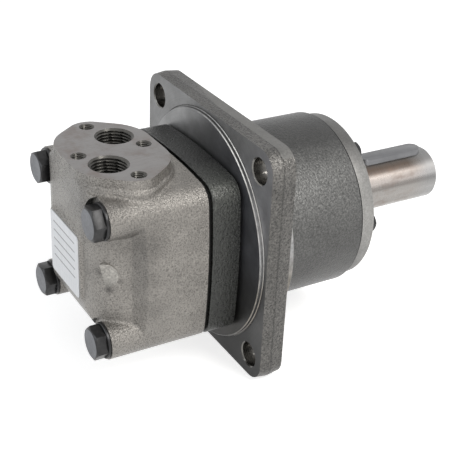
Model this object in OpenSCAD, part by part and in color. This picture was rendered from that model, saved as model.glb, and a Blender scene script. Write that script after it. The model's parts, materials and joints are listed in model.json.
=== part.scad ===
// Hydraulic wheel motor: a disc valve orbital motor with a square wheel flange.
// The shaft runs along +Y, the port face looks up (+Z).
// The origin is on the shaft axis, at the flange's rear mounting face.

/* [Flange] */
// Side of the square mounting flange
flange_side = 140; // [136:1:146]
// Thickness of the flange plate
flange_t = 14; // [12:0.5:18]
// Corner radius of the flange
flange_corner_r = 11.5; // [8:0.5:14]
// Distance from a flange hole's centre to the flange's two sides
flange_hole_inset = 13.43; // [12:0.1:15]
// Diameter of a flange hole
flange_hole_d = 14; // [11:0.5:15]
// Chamfer of a flange hole's front mouth
flange_hole_chamfer = 0.6; // [0.3:0.1:1.5]
// Distance from the raised register's edge to the flange's sides
register_margin = 3.3; // [2:0.1:6]
// Height of the rear register
register_h = 2.4; // [1.6:0.1:3.6]
// Diameter of the pilot ring in front of the flange
pilot_d = 125; // [120:1:130]
// Height of the pilot ring
pilot_h = 8; // [5:0.5:10]

/* [Nose] */
// Outer diameter of the nose
nose_d = 102.8; // [101:0.2:105]
// Length of the nose, from the flange's front face to the cover
nose_len = 62; // [60:0.5:66]
// Fillet between the pilot ring and the nose
nose_fillet_r = 6; // [3:0.5:6]
// Bore behind the bearings, round the drive link
neck_bore_d = 50; // [46:1:54]
// Depth of the shoulder that the rear bearing cup sits on, from the rear mounting face
cup_seat_y = 14; // [12:0.5:16]

/* [Front cover] */
// Diameter of the front cover
cover_d = 98.4; // [97:0.2:101]
// Thickness of the front cover
cover_t = 9.1; // [8:0.1:11]
// Wall of the cover's spigot, which presses on the front cup
spigot_wall = 5; // [4:0.5:5.5]
// Number of cover screws
cover_screw_n = 6; // [4:1:6]
// Pitch circle of the cover screws
cover_screw_pcd = 83; // [82:0.5:84]
// Thread diameter of a cover screw
cover_screw_d = 6; // [5:1:8]
// Width across flats of a cover screw's head
cover_screw_af = 10; // [9:1:13]
// Height of a cover screw's head
cover_screw_head_h = 4; // [3.5:0.1:6]
// Length of a cover screw under its head
cover_screw_len = 20; // [18:1:25]
// Thickness of the shaft seal
shaft_seal_t = 8; // [6:0.5:8]
// Outer diameter of the shaft seal
shaft_seal_d = 52; // [48:0.5:53]
// Outer diameter of the dust seal
dust_seal_d = 45; // [41:0.5:48]
// Depth of the dust seal in the cover's face
dust_seal_t = 3; // [2:0.1:3.5]
// Section of the cover's O-ring
cover_o_ring_d = 2.4; // [2:0.1:3]

/* [Output shaft] */
// Diameter of the output shaft
shaft_d = 32; // [30:0.5:34]
// Free length of the shaft, from the cover to its end
shaft_len = 74.7; // [66:0.1:80]
// Chamfer at the shaft's end
shaft_chamfer = 1.5; // [0.5:0.1:2.5]
// Diameter where the shaft seal runs
seal_journal_d = 35; // [35:0.5:37]
// Diameter of the bearing journals
journal_d = 40; // [39:0.5:41]
// Diameter of the collar between the two bearings
collar_d = 50; // [46:0.5:52]
// Width of the collar
collar_w = 12; // [10:0.5:14]
// Key width
key_w = 10; // [8:1:12]
// Key height
key_h = 8; // [7:0.5:9]
// Key length
key_len = 45; // [36:1:50]
// Distance from the key's end to the shaft's end
key_end_gap = 6.3; // [4.5:0.1:9]
// Core diameter of the tapped hole in the shaft's end
shaft_tap_d = 6.8; // [5:0.2:8.5]
// Depth of the tapped hole in the shaft's end
shaft_tap_len = 20; // [14:1:24]

/* [Bearings] */
// Width of a tapered roller bearing
bearing_w = 19; // [18:0.5:20]
// Rollers in each bearing
bearing_roller_n = 16; // [12:1:18]
// Mean diameter of a tapered roller
bearing_roller_d = 6.4; // [5.8:0.1:6.8]
// Height of a bearing's section, from its bore to its outside
bearing_section = 14; // [13:0.1:15]
// Length of a tapered roller
bearing_roller_len = 13; // [11:0.5:14]
// Angle of the rollers to the shaft
bearing_angle = 13; // [10:0.5:15]
// Wall of the roller cage
cage_wall = 1; // [0.8:0.1:1.2]
// Outer diameter of the lock nut
nut_d = 54; // [50:0.5:55]
// Thickness of the lock nut
nut_t = 6; // [5:0.5:6.5]
// Thickness of the tab washer under the lock nut
lock_washer_t = 1.2; // [0.8:0.1:1.5]

/* [Body] */
// Spacing of the four through bolts
bolt_square = 71.6; // [70:0.2:74]
// Wall round each through bolt
bolt_wall_r = 10.7; // [9:0.1:11.5]
// How far the sides of the body arch out past its corners
side_arch = 2; // [1:0.1:3]
// Inset of the dark seam at each joint of the body
seam_inset = 1.4; // [0.8:0.1:2]
// Width of the seam between the flange and the ring
front_seam_w = 1.4; // [1:0.1:2]
// Width of the seam between the ring and the valve housing
rear_seam_w = 2; // [1:0.1:2.6]
// Diameter of a through bolt
bolt_d = 10; // [8:0.5:10]
// Width across flats of a through bolt's head
bolt_af = 17; // [16:0.5:18]
// Height of a through bolt's head
bolt_head_h = 6.4; // [5:0.1:7]
// Thread length of a through bolt in the front housing
bolt_engage = 16; // [12:0.5:17]
// Washer diameter under a bolt's head
bolt_washer_d = 20; // [19:0.5:21]
// Washer thickness
bolt_washer_t = 1.6; // [1:0.1:2.5]
// Centre circle of the body's O-rings
body_o_ring_pcd = 85; // [84.5:0.1:85.5]
// Section of the body's O-rings
body_o_ring_d = 2.2; // [1.8:0.1:2.4]
// Diameter of the alignment pin
pin_d = 4; // [3:0.5:5]

/* [Gerolor] */
// Width of the gerolor ring
ring_w = 16.6; // [14:0.2:22]
// Circle of the seven rollers' centres
roller_pcd = 65; // [64:0.5:66]
// Diameter of a gerolor roller
roller_d = 16; // [15:0.5:16.5]
// Offset of the star from the ring's centre
eccentricity = 3; // [2.6:0.1:3.1]
// Thickness of the wear plate in front of the ring
wear_plate_t = 6; // [4:0.5:8]
// Diameter of the wear plate and of the valve plate
plate_d = 80; // [79.5:0.1:80.4]
// Hole in the wear plate and mouth of the hole in the valve plate
plate_hole_d = 31; // [30.6:0.1:32]

/* [Drive links] */
// Number of spline teeth
spline_n = 12; // [10:1:14]
// Tip diameter of the drive link's spline
spline_d = 24; // [22:0.5:24]
// Depth of the drive link's spline teeth
spline_depth = 2; // [1.6:0.1:2.4]
// Length of the crown at each end of the drive link
link_crown_len = 8; // [6:0.5:8.5]
// Distance between the drive link's two crowns
link_span = 40; // [39:0.5:42]
// Shank diameter of the drive link
link_shank_d = 17; // [14:0.5:18]
// Tip diameter of the valve drive link's rear spline
valve_spline_d = 19; // [17:0.5:20]
// Shank diameter of the valve drive link
valve_link_shank_d = 14; // [12:0.5:14.5]
// Thickness of the thrust washer in front of the drive link
thrust_washer_t = 2; // [1.5:0.1:3]

/* [Valve] */
// Thickness of the valve plate
valve_plate_t = 12; // [11:0.5:13]
// Diameter of the disc valve
disc_valve_d = 64; // [62:0.5:66]
// Thickness of the disc valve
disc_valve_t = 14; // [13:0.5:15]
// Circle of the valve's ports
valve_port_pcd = 52; // [50:0.5:54]
// Diameter of a valve port
valve_port_d = 5.6; // [4.5:0.1:6]
// Diameter of the annular chamber round the disc valve
chamber_d = 72; // [70:0.5:74]
// Diameter of the balance plate
balance_d = 60; // [57:0.5:61]
// Thickness of the balance plate
balance_t = 9.6; // [8:0.2:10]
// Number of springs behind the balance plate
balance_spring_n = 6; // [3:1:8]
// Outer diameter of a balance spring
balance_spring_d = 5.2; // [4:0.1:6]
// Distance from the balance plate's edge to the springs' middles
balance_spring_inset = 7.5; // [6:0.1:8]
// Free space for the springs behind the balance plate
balance_gap = 4; // [3:0.5:4.5]

/* [Valve housing] */
// Rear face of the valve housing, from the rear mounting face
rear_face_y = -82.8; // [-85:0.1:-81.6]
// Depth of the bolt seats in front of the rear face
bolt_seat_drop = 4.9; // [3.8:0.1:6.6]
// Depth of the hollows between the bolt lugs
hollow_depth = 7.5; // [4:0.5:8]
// Radius of the rounded rear edge between the lugs
rear_edge_r = 23; // [20:0.5:24]
// Length over which the hollows run out into the full section
hollow_run = 7; // [5:0.5:9]
// Start of the hollows, from the rear mounting face
hollow_y = -57; // [-58:0.5:-55]
// Radius of the recess round each bolt head
spot_face_r = 12.6; // [11.5:0.1:13.5]
// Height of the port face over the shaft axis
port_face_z = 56; // [54:0.5:59]
// Middle of the port face, from the rear mounting face
port_pad_y = -56.4; // [-57:0.1:-56]
// Half length of the port face across the motor
pad_half_x = 40; // [39:0.5:42]
// Half width of the port face along the motor
pad_half_y = 26.4; // [26:0.1:26.6]
// End radius of the port face
pad_end_r = 12; // [10:0.5:14]
// Half spacing of the large arcs of the port face
pad_arc_x = 10; // [6:0.5:12]
// Thread core diameter of the two ports
port_core_d = 18.63; // [15:0.01:19]
// Thread outer diameter of the two ports
port_major_d = 20.955; // [16.7:0.005:21]
// Thread depth of the two ports
port_thread_len = 17; // [14:0.5:18]
// Half spacing of the ports across the motor
port_dx = 15.5; // [14.5:0.1:17]
// Half spacing of the ports along the motor
port_dy = 8.5; // [8:0.1:9]
// Core diameter of the four tapped holes
tap_d = 6.8; // [5:0.1:7.4]
// Depth of the four tapped holes
tap_len = 13; // [10:0.5:13]
// Spacing of the two tapped holes across the motor
tap_span_x = 66; // [65:0.5:67]
// Spacing of the two tapped holes along the motor
tap_span_y = 37.4; // [36.6:0.2:38]
// Diameter of the oil channels under the ports
channel_d = 11; // [8:0.5:12]
// Diameter of the cast nub on the rear right edge
nub_d = 12.6; // [10:0.2:15]
// How far the nub stands out of the rear right edge
nub_proud = 0.4; // [0.2:0.1:1.2]
// Height of the nub's middle over the shaft axis
nub_z = 5; // [2:0.5:8]

/* [Name plate] */
// Width of the cast pad behind the name plate
plate_pad_w = 41; // [40:0.5:44]
// Height of the cast pad
plate_pad_h = 39; // [38:0.5:42]
// Height of the cast pad over the rear face
plate_pad_t = 1.4; // [0.8:0.1:2]
// Width of the name plate
name_plate_w = 37.4; // [34:0.2:38]
// Height of the name plate
name_plate_h = 37.4; // [34:0.2:38]
// Thickness of the name plate
name_plate_t = 0.5; // [0.4:0.1:0.8]
// Height of the pad's middle over the shaft axis
name_plate_z = 0.5; // [-1:0.1:2]

/* [Check valves and drain] */
// Diameter of a check valve's ball
check_ball_d = 6; // [5:0.5:7]
// How far a check valve's ball lifts off its seat
check_lift = 1.2; // [0.8:0.1:1.4]
// Diameter of the oil hole over a check valve
check_hole_d = 4; // [3:0.5:4.5]
// Diameter of a check valve's plug
check_plug_d = 12; // [10:0.5:13]
// Height of a check valve's seat over the shaft axis
check_seat_z = -14; // [-16:0.5:-12]
// Distance of the check valves behind the valve chamber
check_back = 9; // [8.4:0.1:9.5]
// Diameter of the drain plug's thread
drain_d = 13; // [10:0.5:13.2]
// Diameter of the drain plug's head
drain_head_d = 18; // [16:0.5:20]
// Height of the drain plug's head
drain_head_h = 4; // [3:0.5:5]
// Thickness of the drain plug's seal
drain_seal_t = 1.5; // [1:0.1:2]
// Distance of the drain plug from the rear mounting face
drain_y = -41; // [-44:0.5:-40]
// Thread length of the drain plug
drain_len = 9; // [7:0.5:11]
// Width across flats of the drain plug's socket
drain_socket_af = 6; // [5:0.5:8]
// Depth of the drain plug's socket
drain_socket_h = 5; // [3:0.5:6]
// Length of a check valve's plug
check_plug_len = 7.5; // [6:0.5:9]
// Depth of a check valve's plug below the housing's surface
check_plug_sink = 1.5; // [0.5:0.5:3]
// Width across flats of a check valve plug's socket
check_socket_af = 5; // [4:0.5:6]
// Depth of a check valve plug's socket
check_socket_h = 3; // [2:0.5:4]

/* [Fits] */
// Radial clearance of pieces that sit in each other
fit = 0.04; // [0.02:0.01:0.08]
// Clearance of the spline teeth, which lets the drive links tilt
spline_fit = 0.5; // [0.4:0.05:0.6]
// Face clearance of turning discs
face_gap = 0.05; // [0.03:0.01:0.1]

/* [Hidden] */
$fn = 64;

cast_colour = [0.55, 0.54, 0.52];
dark_colour = [0.30, 0.31, 0.30];
steel_colour = [0.72, 0.71, 0.70];
oxide_colour = [0.16, 0.17, 0.17];
rubber_colour = [0.08, 0.08, 0.08];
bronze_colour = [0.66, 0.52, 0.32];

flange_hole_at = flange_side / 2 - flange_hole_inset;
register_d = flange_side - 2 * register_margin;
// Bearing seats
nose_bore_d = journal_d + 2 * bearing_section;
nut_thread_d = journal_d - 1;
// Body section
bolt_seat_y = rear_face_y + bolt_seat_drop;
overcut = 2;
bolt_half = bolt_square / 2;
body_half = bolt_half + bolt_wall_r + side_arch;
bolt_hole_r = bolt_d / 2 + 0.3;
// The stack of pieces along the shaft axis
ring_front_y = -register_h - front_seam_w;
ring_rear_y = ring_front_y - ring_w;
housing_front_y = ring_rear_y - rear_seam_w;
valve_plate_y = ring_rear_y - valve_plate_t;
disc_valve_y = valve_plate_y - disc_valve_t;
balance_y = disc_valve_y - balance_t;
chamber_end_y = balance_y - balance_gap;
chamber_step_y = disc_valve_y - 2.6;
nose_end_y = flange_t + nose_len;
cover_face_y = nose_end_y + cover_t;
shaft_end_y = cover_face_y + shaft_len;
// Places along the shaft
rear_cup_y = cup_seat_y;
collar_y = rear_cup_y + bearing_w;
front_cup_y = collar_y + collar_w;
nut_y = front_cup_y + bearing_w + lock_washer_t;
nut_end_y = nut_y + nut_t;
shaft_rear_y = rear_cup_y - 4;
// Seals in the cover
lip_y = cover_face_y - dust_seal_t - 1.5;
shaft_seal_y = lip_y - shaft_seal_t;
// Drive link: its rear crown is centred on the star, its front crown on the shaft
star_crown_y = ring_front_y - 0.2 - link_crown_len / 2;
hub_crown_y = star_crown_y + link_span;
link_tilt = atan(eccentricity / link_span);
// The disc valve's crown is centred in the disc
valve_crown_len = 5;
valve_star_y = ring_rear_y + 2.5;
valve_hub_y = valve_plate_y - disc_valve_t / 2;
valve_link_span = valve_star_y - valve_hub_y;
valve_link_tilt = atan(eccentricity / valve_link_span);
valve_spline_r = valve_spline_d / 2;
spline_r = spline_d / 2;
hub_spline_end_y = hub_crown_y + link_crown_len / 2 + 3;
thrust_y = hub_spline_end_y + 1.2;
hub_bottom_y = thrust_y + thrust_washer_t + 0.1;
star_w = ring_w - 2 * face_gap;
// Ports and channels
port_a = [port_dx, port_pad_y - port_dy];
port_b = [-port_dx, port_pad_y + port_dy];
rear_half = body_half - hollow_depth;
round_y = hollow_y - hollow_run;
// Check valves
check_y = chamber_end_y - check_back;
check_ball_r = check_ball_d / 2;
check_cone = (check_ball_r + fit) * sqrt(2);
check_ball_z = check_seat_z + check_hole_d / 2 - check_cone;
check_bottom_z = -rear_reach(check_y);
check_plug_top_z = check_bottom_z + check_plug_sink + check_plug_len;
check_bore_r = check_ball_r + 0.5;

// Half width of the valve housing between its lugs, where the rear edge is round
function rear_reach(y) =
    rear_half - rear_edge_r + sqrt(pow(rear_edge_r, 2) - pow(rear_face_y + rear_edge_r - y, 2));

// A cylinder along the shaft axis, from y0 to y1
module y_rod(r, y0, y1) translate([0, y0, 0]) rotate([-90, 0, 0]) cylinder(r = r, h = y1 - y0);

// A cone along the shaft axis, from y0 to y1
module y_cone(r0, r1, y0, y1) translate([0, y0, 0]) rotate([-90, 0, 0]) cylinder(r1 = r0, r2 = r1, h = y1 - y0);

// A flat outline, drawn as x and z, made solid from y0 to y1
module y_prism(y0, y1) translate([0, y1, 0]) rotate([90, 0, 0]) linear_extrude(y1 - y0) children();

// A profile, drawn as radius and y, turned about the shaft axis
module turned() rotate([-90, 0, 0]) rotate_extrude() children();

// Children at each of the four through bolts
module at_bolts() for (sx = [-1, 1], sz = [-1, 1]) translate([sx * bolt_half, 0, sz * bolt_half]) children();

// Children at n places on a circle round the shaft axis
module around(n, r, start = 0)
    for (i = [0 : n - 1]) translate([r * cos(start + 360 * i / n), 0, r * sin(start + 360 * i / n)]) children();

// A square with round corners, as an outline
module round_square(half, r) {
    square([2 * half, 2 * (half - r)], center = true);
    square([2 * (half - r), 2 * half], center = true);
    for (sx = [-1, 1], sy = [-1, 1]) translate([sx * (half - r), sy * (half - r)]) circle(r);
}

// Section of the body: round corners on the bolts and arched sides, moved inwards by inset
module body_outline(inset = 0) {
    corner_r = bolt_wall_r - inset;
    span = bolt_half + side_arch;
    shift = (2 * pow(bolt_half, 2) - pow(span, 2)) / (2 * side_arch);
    arch_r = body_half - inset + shift;
    slab = bolt_half + corner_r * sin(atan2(bolt_half, bolt_half + shift));
    at = [[shift, 0], [-shift, 0], [0, shift], [0, -shift]];
    for (flip = [0, 90]) rotate(flip) intersection() {
        translate(at[0]) circle(arch_r, $fn = 128);
        translate(at[1]) circle(arch_r, $fn = 128);
        translate(at[2]) circle(arch_r, $fn = 128);
        translate(at[3]) circle(arch_r, $fn = 128);
        square([2 * (body_half + 1), 2 * slab], center = true);
    }
    for (sx = [-1, 1], sy = [-1, 1]) translate([sx * bolt_half, sy * bolt_half]) circle(corner_r);
}

// Outline of a spline: a ring of trapezoid teeth, grown by a clearance
function spline_points(r, depth, n, grow = 0) = [
    for (i = [0 : n - 1], k = [0 : 3])
        let (pitch = 360 / n)
        let (root = r - depth + grow)
        let (tip = r + grow)
        let (wide = pitch * 0.30 + grow / (r - depth) * 57.3)
        let (narrow = pitch * 0.16 + grow / r * 57.3)
        let (turn = [-wide, -narrow, narrow, wide][k])
        let (rad = [root, tip, tip, root][k])
        [rad * cos(i * pitch + turn), rad * sin(i * pitch + turn)]];

// Path of the roller centres, seen from the star
function path_x(u) = roller_pcd / 2 * cos(u) - eccentricity * cos(7 * u);
function path_y(u) = roller_pcd / 2 * sin(u) - eccentricity * sin(7 * u);
function path_dx(u) = -roller_pcd / 2 * sin(u) + 7 * eccentricity * sin(7 * u);
function path_dy(u) = roller_pcd / 2 * cos(u) - 7 * eccentricity * cos(7 * u);
// Star profile: that path moved inwards by a roller's radius, with its points crowded into the valleys
function star_points(steps) = [
    for (i = [0 : steps - 1])
        let (v = 360 * i / steps)
        let (u = v - 0.8 * sin(6 * v) / 6 * 57.2958)
        let (run = norm([path_dx(u), path_dy(u)]))
        let (inset = roller_d / 2 + fit + 0.03)
        [path_x(u) - inset * path_dy(u) / run, path_y(u) + inset * path_dx(u) / run]];

// Points on the port pad's outline where its large and small arcs meet their common tangents
pad_turn = acos((pad_half_y - pad_end_r) / (pad_half_x - pad_end_r - pad_arc_x));
module pad_outline() {
    small_x = pad_half_x - pad_end_r;
    for (s = [-1, 1]) {
        translate([s * pad_arc_x, 0]) circle(pad_half_y, $fn = 96);
        translate([s * small_x, 0]) circle(pad_end_r);
    }
    near = [pad_arc_x + pad_half_y * cos(pad_turn), pad_half_y * sin(pad_turn)];
    far = [small_x + pad_end_r * cos(pad_turn), pad_end_r * sin(pad_turn)];
    polygon([for (s = [[1, 1], [-1, 1], [-1, -1], [1, -1]])
        for (p = s[0] * s[1] > 0 ? [far, near] : [near, far]) [s[0] * p[0], s[1] * p[1]]]);
    square([2 * pad_arc_x, 2 * pad_half_y], center = true);
}

// Plan of the valve housing between its lugs: hollow sides and a round rear edge
module hollow_outline() {
    flat = rear_half - rear_edge_r;
    polygon([[-body_half - 1, housing_front_y], [-body_half - 1, hollow_y], [-rear_reach(round_y), round_y],
        [-flat, rear_face_y], [flat, rear_face_y], [rear_reach(round_y), round_y], [body_half + 1, hollow_y],
        [body_half + 1, housing_front_y]]);
    for (s = [-1, 1]) translate([s * flat, rear_face_y + rear_edge_r]) circle(rear_edge_r, $fn = 96);
}

module front_housing() color(cast_colour) difference() {
    union() {
        y_prism(0, flange_t) round_square(flange_side / 2, flange_corner_r);
        turned() polygon([[0, -register_h], [register_d / 2 - 0.8, -register_h], [register_d / 2, -register_h + 0.8],
            [register_d / 2, 1], [0, 1]]);
        y_prism(ring_front_y, 1 - register_h) body_outline(seam_inset);
        turned() difference() {
            polygon([[0, 1], [pilot_d / 2, 1], [pilot_d / 2, flange_t + pilot_h - 1],
                [pilot_d / 2 - 1, flange_t + pilot_h], [nose_d / 2 + nose_fillet_r, flange_t + pilot_h],
                [nose_d / 2 + nose_fillet_r, flange_t + pilot_h + nose_fillet_r],
                [nose_d / 2, flange_t + pilot_h + nose_fillet_r], [nose_d / 2, nose_end_y - 1.4],
                [nose_d / 2 - 1.4, nose_end_y], [0, nose_end_y]]);
            translate([nose_d / 2 + nose_fillet_r, flange_t + pilot_h + nose_fillet_r]) circle(nose_fillet_r);
        }
    }
    y_rod(neck_bore_d / 2, ring_front_y - 1, cup_seat_y + 1);
    y_rod(nose_bore_d / 2 + fit, cup_seat_y, nose_end_y + 1);
    y_rod(plate_d / 2 + fit, ring_front_y - 1, ring_front_y + wear_plate_t);
    o_ring_groove(ring_front_y, ring_front_y + body_o_ring_d);
    for (sx = [-1, 1], sz = [-1, 1]) translate([sx * flange_hole_at, 0, sz * flange_hole_at]) {
        y_rod(flange_hole_d / 2, -1, flange_t + 1);
        y_cone(flange_hole_d / 2, flange_hole_d / 2 + flange_hole_chamfer, flange_t - flange_hole_chamfer,
            flange_t + 0.01);
    }
    at_bolts() y_rod(bolt_d / 2 + fit, ring_front_y - 1, ring_front_y + bolt_engage + 1.5);
    around(cover_screw_n, cover_screw_pcd / 2)
        y_rod(cover_screw_d / 2 + fit, cover_face_y - cover_screw_len - 1.5, nose_end_y + 1);
    pin_place() y_rod(pin_d / 2 + fit, ring_front_y - 1, ring_front_y + 6);
}

// Groove of a body O-ring, from y0 to y1
module o_ring_groove(y0, y1) difference() {
    y_rod(body_o_ring_pcd / 2 + body_o_ring_d / 2 + 0.1, y0 - 0.01, y1);
    y_rod(body_o_ring_pcd / 2 - body_o_ring_d / 2 - 0.1, y0 - 1, y1 + 1);
}

// The alignment pin's axis, outside the O-ring and beside a bolt
pin_ring_r = body_o_ring_pcd / 2 + body_o_ring_d / 2 + pin_d / 2 + 2.2;
module pin_place() translate([pin_ring_r * cos(30), 0, -pin_ring_r * sin(30)]) children();

module front_cover() color([0.62, 0.61, 0.60]) difference() {
    turned() polygon([[0, nut_end_y + 1.5], [nose_bore_d / 2 - spigot_wall, front_cup_y + bearing_w],
        [nose_bore_d / 2, front_cup_y + bearing_w], [nose_bore_d / 2, nose_end_y], [cover_d / 2, nose_end_y],
        [cover_d / 2, cover_face_y - 0.6], [cover_d / 2 - 0.6, cover_face_y], [0, cover_face_y]]);
    y_rod(nose_bore_d / 2 - spigot_wall, front_cup_y, nut_end_y + 1.5);
    y_rod(shaft_seal_d / 2 + fit, front_cup_y, shaft_seal_y + shaft_seal_t);
    y_rod(seal_journal_d / 2 + 1.5, front_cup_y, cover_face_y + 1);
    y_rod(dust_seal_d / 2 + fit, cover_face_y - dust_seal_t, cover_face_y + 1);
    difference() {
        y_rod(nose_bore_d / 2 + 1, cover_groove_y, cover_groove_y + cover_o_ring_d + 0.4);
        y_rod(nose_bore_d / 2 - cover_o_ring_d - 0.1, cover_groove_y - 1, cover_groove_y + cover_o_ring_d + 1.4);
    }
    around(cover_screw_n, cover_screw_pcd / 2) y_rod(cover_screw_d / 2 + 0.3, nose_end_y - 1, cover_face_y + 1);
}
cover_groove_y = nose_end_y - 6;

module cover_screws() color(oxide_colour) around(cover_screw_n, cover_screw_pcd / 2) {
    y_rod(cover_screw_d / 2, cover_face_y - cover_screw_len, cover_face_y + 0.5);
    hex_head(cover_screw_af, cover_screw_head_h, cover_face_y);
}

// A chamfered hex head that stands on the plane y = seat and points to +Y
module hex_head(af, height, seat) intersection() {
    translate([0, seat, 0]) rotate([-90, 0, 0]) cylinder(d = af / cos(30), h = height, $fn = 6);
    y_cone(af / 2 * 1.5, af / 2 * 0.95, seat - 1, seat + height + 0.001);
}

module cover_o_ring() color(rubber_colour) turned()
    translate([nose_bore_d / 2 - cover_o_ring_d / 2 - 0.02, cover_groove_y + cover_o_ring_d / 2 + 0.2])
        circle(d = cover_o_ring_d - 0.04, $fn = 24);

module dust_seal() color(rubber_colour) turned() polygon([
    [shaft_d / 2 + fit, cover_face_y - dust_seal_t + 0.8], [shaft_d / 2 + 1.6, cover_face_y - dust_seal_t],
    [dust_seal_d / 2, cover_face_y - dust_seal_t], [dust_seal_d / 2, cover_face_y],
    [shaft_d / 2 + 2.6, cover_face_y], [shaft_d / 2 + fit, cover_face_y + 1.2]]);

module shaft_seal() color(rubber_colour) turned() polygon([
    [seal_journal_d / 2 + fit, shaft_seal_y + 2], [seal_journal_d / 2 + 3, shaft_seal_y],
    [shaft_seal_d / 2, shaft_seal_y], [shaft_seal_d / 2, shaft_seal_y + shaft_seal_t],
    [seal_journal_d / 2 + 3, shaft_seal_y + shaft_seal_t], [seal_journal_d / 2 + 2, shaft_seal_y + 3.5],
    [seal_journal_d / 2 + fit, shaft_seal_y + 3]]);

key_y = shaft_end_y - key_end_gap - key_len / 2;
key_seat_z = shaft_d / 2 - (key_h - 3);

module key_shape(grow, z0, z1) translate([0, key_y, z0]) linear_extrude(z1 - z0) {
    square([key_w + 2 * grow, key_len - key_w], center = true);
    for (s = [-1, 1]) translate([0, s * (key_len - key_w) / 2]) circle(key_w / 2 + grow, $fn = 48);
}

module output_shaft() color(steel_colour) difference() {
    turned() polygon([[0, shaft_rear_y], [journal_d / 2 - 1, shaft_rear_y], [journal_d / 2, shaft_rear_y + 1],
        [journal_d / 2, collar_y], [collar_d / 2, collar_y], [collar_d / 2, front_cup_y],
        [journal_d / 2, front_cup_y], [journal_d / 2, front_cup_y + bearing_w - 0.5],
        [nut_thread_d / 2, front_cup_y + bearing_w - 0.5], [nut_thread_d / 2, nut_end_y + 0.5],
        [seal_journal_d / 2, nut_end_y + 1], [seal_journal_d / 2, lip_y + 0.6],
        [shaft_d / 2, lip_y + 0.6 + (seal_journal_d - shaft_d) / 2], [shaft_d / 2, shaft_end_y - shaft_chamfer],
        [shaft_d / 2 - shaft_chamfer, shaft_end_y], [0, shaft_end_y]]);
    y_prism(shaft_rear_y - 1, hub_spline_end_y)
        polygon(spline_points(spline_r, spline_depth, spline_n, spline_fit));
    y_rod(spline_r + spline_fit + 0.4, shaft_rear_y - 1, hub_crown_y - link_crown_len / 2 - 2);
    y_rod(spline_r - spline_depth + 1, hub_spline_end_y - 1, hub_bottom_y);
    key_shape(fit, key_seat_z, shaft_d);
    y_rod(shaft_tap_d / 2, shaft_end_y - shaft_tap_len, shaft_end_y + 1);
    y_cone(shaft_tap_d / 2, shaft_tap_d / 2 + 1.2, shaft_end_y - 1.2, shaft_end_y + 0.01);
}

module shaft_key() color([0.50, 0.52, 0.55]) key_shape(0, key_seat_z, key_seat_z + key_h);

// Tapered roller bearings: all rolling surfaces are cones with their tip on the shaft axis
race_r = (nose_bore_d + journal_d) / 4;
roller_r = bearing_roller_d / 2;
roller_slant = race_r / sin(bearing_angle);
roller_half_angle = atan(roller_r / roller_slant);
function race_radius(angle, offset) = (race_r / tan(bearing_angle) + offset) * tan(angle);

// A ring with a conical surface; offset counts along the axis from the bearing's middle
module bearing_cup() color(steel_colour) difference() {
    y_rod(nose_bore_d / 2, 0, bearing_w);
    y_cone(race_radius(bearing_angle + roller_half_angle, -bearing_w / 2 - 1) + face_gap,
        race_radius(bearing_angle + roller_half_angle, bearing_w / 2 + 1) + face_gap, -1, bearing_w + 1);
}
module bearing_cone() color(steel_colour) difference() {
    y_cone(race_radius(bearing_angle - roller_half_angle, -bearing_w / 2) - face_gap,
        race_radius(bearing_angle - roller_half_angle, bearing_w / 2) - face_gap, 0, bearing_w);
    y_rod(journal_d / 2 + 0.01, -1, bearing_w + 1);
}
module tapered_roller(grow, stretch) rotate([-90 + bearing_angle, 0, 0])
    translate([0, 0, -(bearing_roller_len / 2 + stretch)])
        cylinder(r1 = roller_r + grow - tan(roller_half_angle) * (bearing_roller_len / 2 + stretch),
            r2 = roller_r + grow + tan(roller_half_angle) * (bearing_roller_len / 2 + stretch),
            h = bearing_roller_len + 2 * stretch, $fn = 32);
module bearing_rollers() color(steel_colour) for (i = [0 : bearing_roller_n - 1])
    rotate([0, 360 * i / bearing_roller_n, 0]) translate([0, bearing_w / 2, race_r]) tapered_roller(0, 0);
module bearing_cage() color(bronze_colour) difference() {
    y_cone(race_radius(bearing_angle, -cage_reach) + cage_wall / 2, race_radius(bearing_angle, cage_reach) + cage_wall / 2,
        bearing_w / 2 - cage_reach, bearing_w / 2 + cage_reach);
    y_cone(race_radius(bearing_angle, -cage_reach) - cage_wall / 2, race_radius(bearing_angle, cage_reach) - cage_wall / 2,
        bearing_w / 2 - cage_reach - 0.001, bearing_w / 2 + cage_reach + 0.001);
    for (i = [0 : bearing_roller_n - 1])
        rotate([0, 360 * i / bearing_roller_n, 0]) translate([0, bearing_w / 2, race_r]) tapered_roller(0.15, 0.2);
}
cage_reach = bearing_w / 2 - 1;
// The rear bearing opens towards the collar, the front one is its mirror image
module at_rear_bearing() translate([0, rear_cup_y, 0]) children();
module at_front_bearing() translate([0, front_cup_y + bearing_w, 0]) mirror([0, 1, 0]) children();

module rear_bearing_cup() at_rear_bearing() bearing_cup();
module rear_bearing_cone() at_rear_bearing() bearing_cone();
module rear_bearing_rollers() at_rear_bearing() bearing_rollers();
module rear_bearing_cage() at_rear_bearing() bearing_cage();
module front_bearing_cup() at_front_bearing() bearing_cup();
module front_bearing_cone() at_front_bearing() bearing_cone();
module front_bearing_rollers() at_front_bearing() bearing_rollers();
module front_bearing_cage() at_front_bearing() bearing_cage();

module bearing_lock_nut() color(oxide_colour) difference() {
    y_rod(nut_d / 2, nut_y, nut_end_y);
    y_rod(nut_thread_d / 2 + 0.01, nut_y - 1, nut_end_y + 1);
    for (i = [0 : 3]) rotate([0, 90 * i, 0]) translate([-2.5, nut_y - 1, nut_d / 2 - 2.5]) cube([5, nut_t + 2, 5]);
}
module lock_washer() color(steel_colour) difference() {
    y_rod(nut_d / 2 - 1, nut_y - lock_washer_t, nut_y);
    y_rod(nut_thread_d / 2 + 0.01, nut_y - lock_washer_t - 1, nut_y + 1);
}
module thrust_washer() color(bronze_colour)
    y_rod(spline_r - spline_depth + 1 - fit, hub_bottom_y - thrust_washer_t - face_gap, hub_bottom_y - face_gap);

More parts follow.
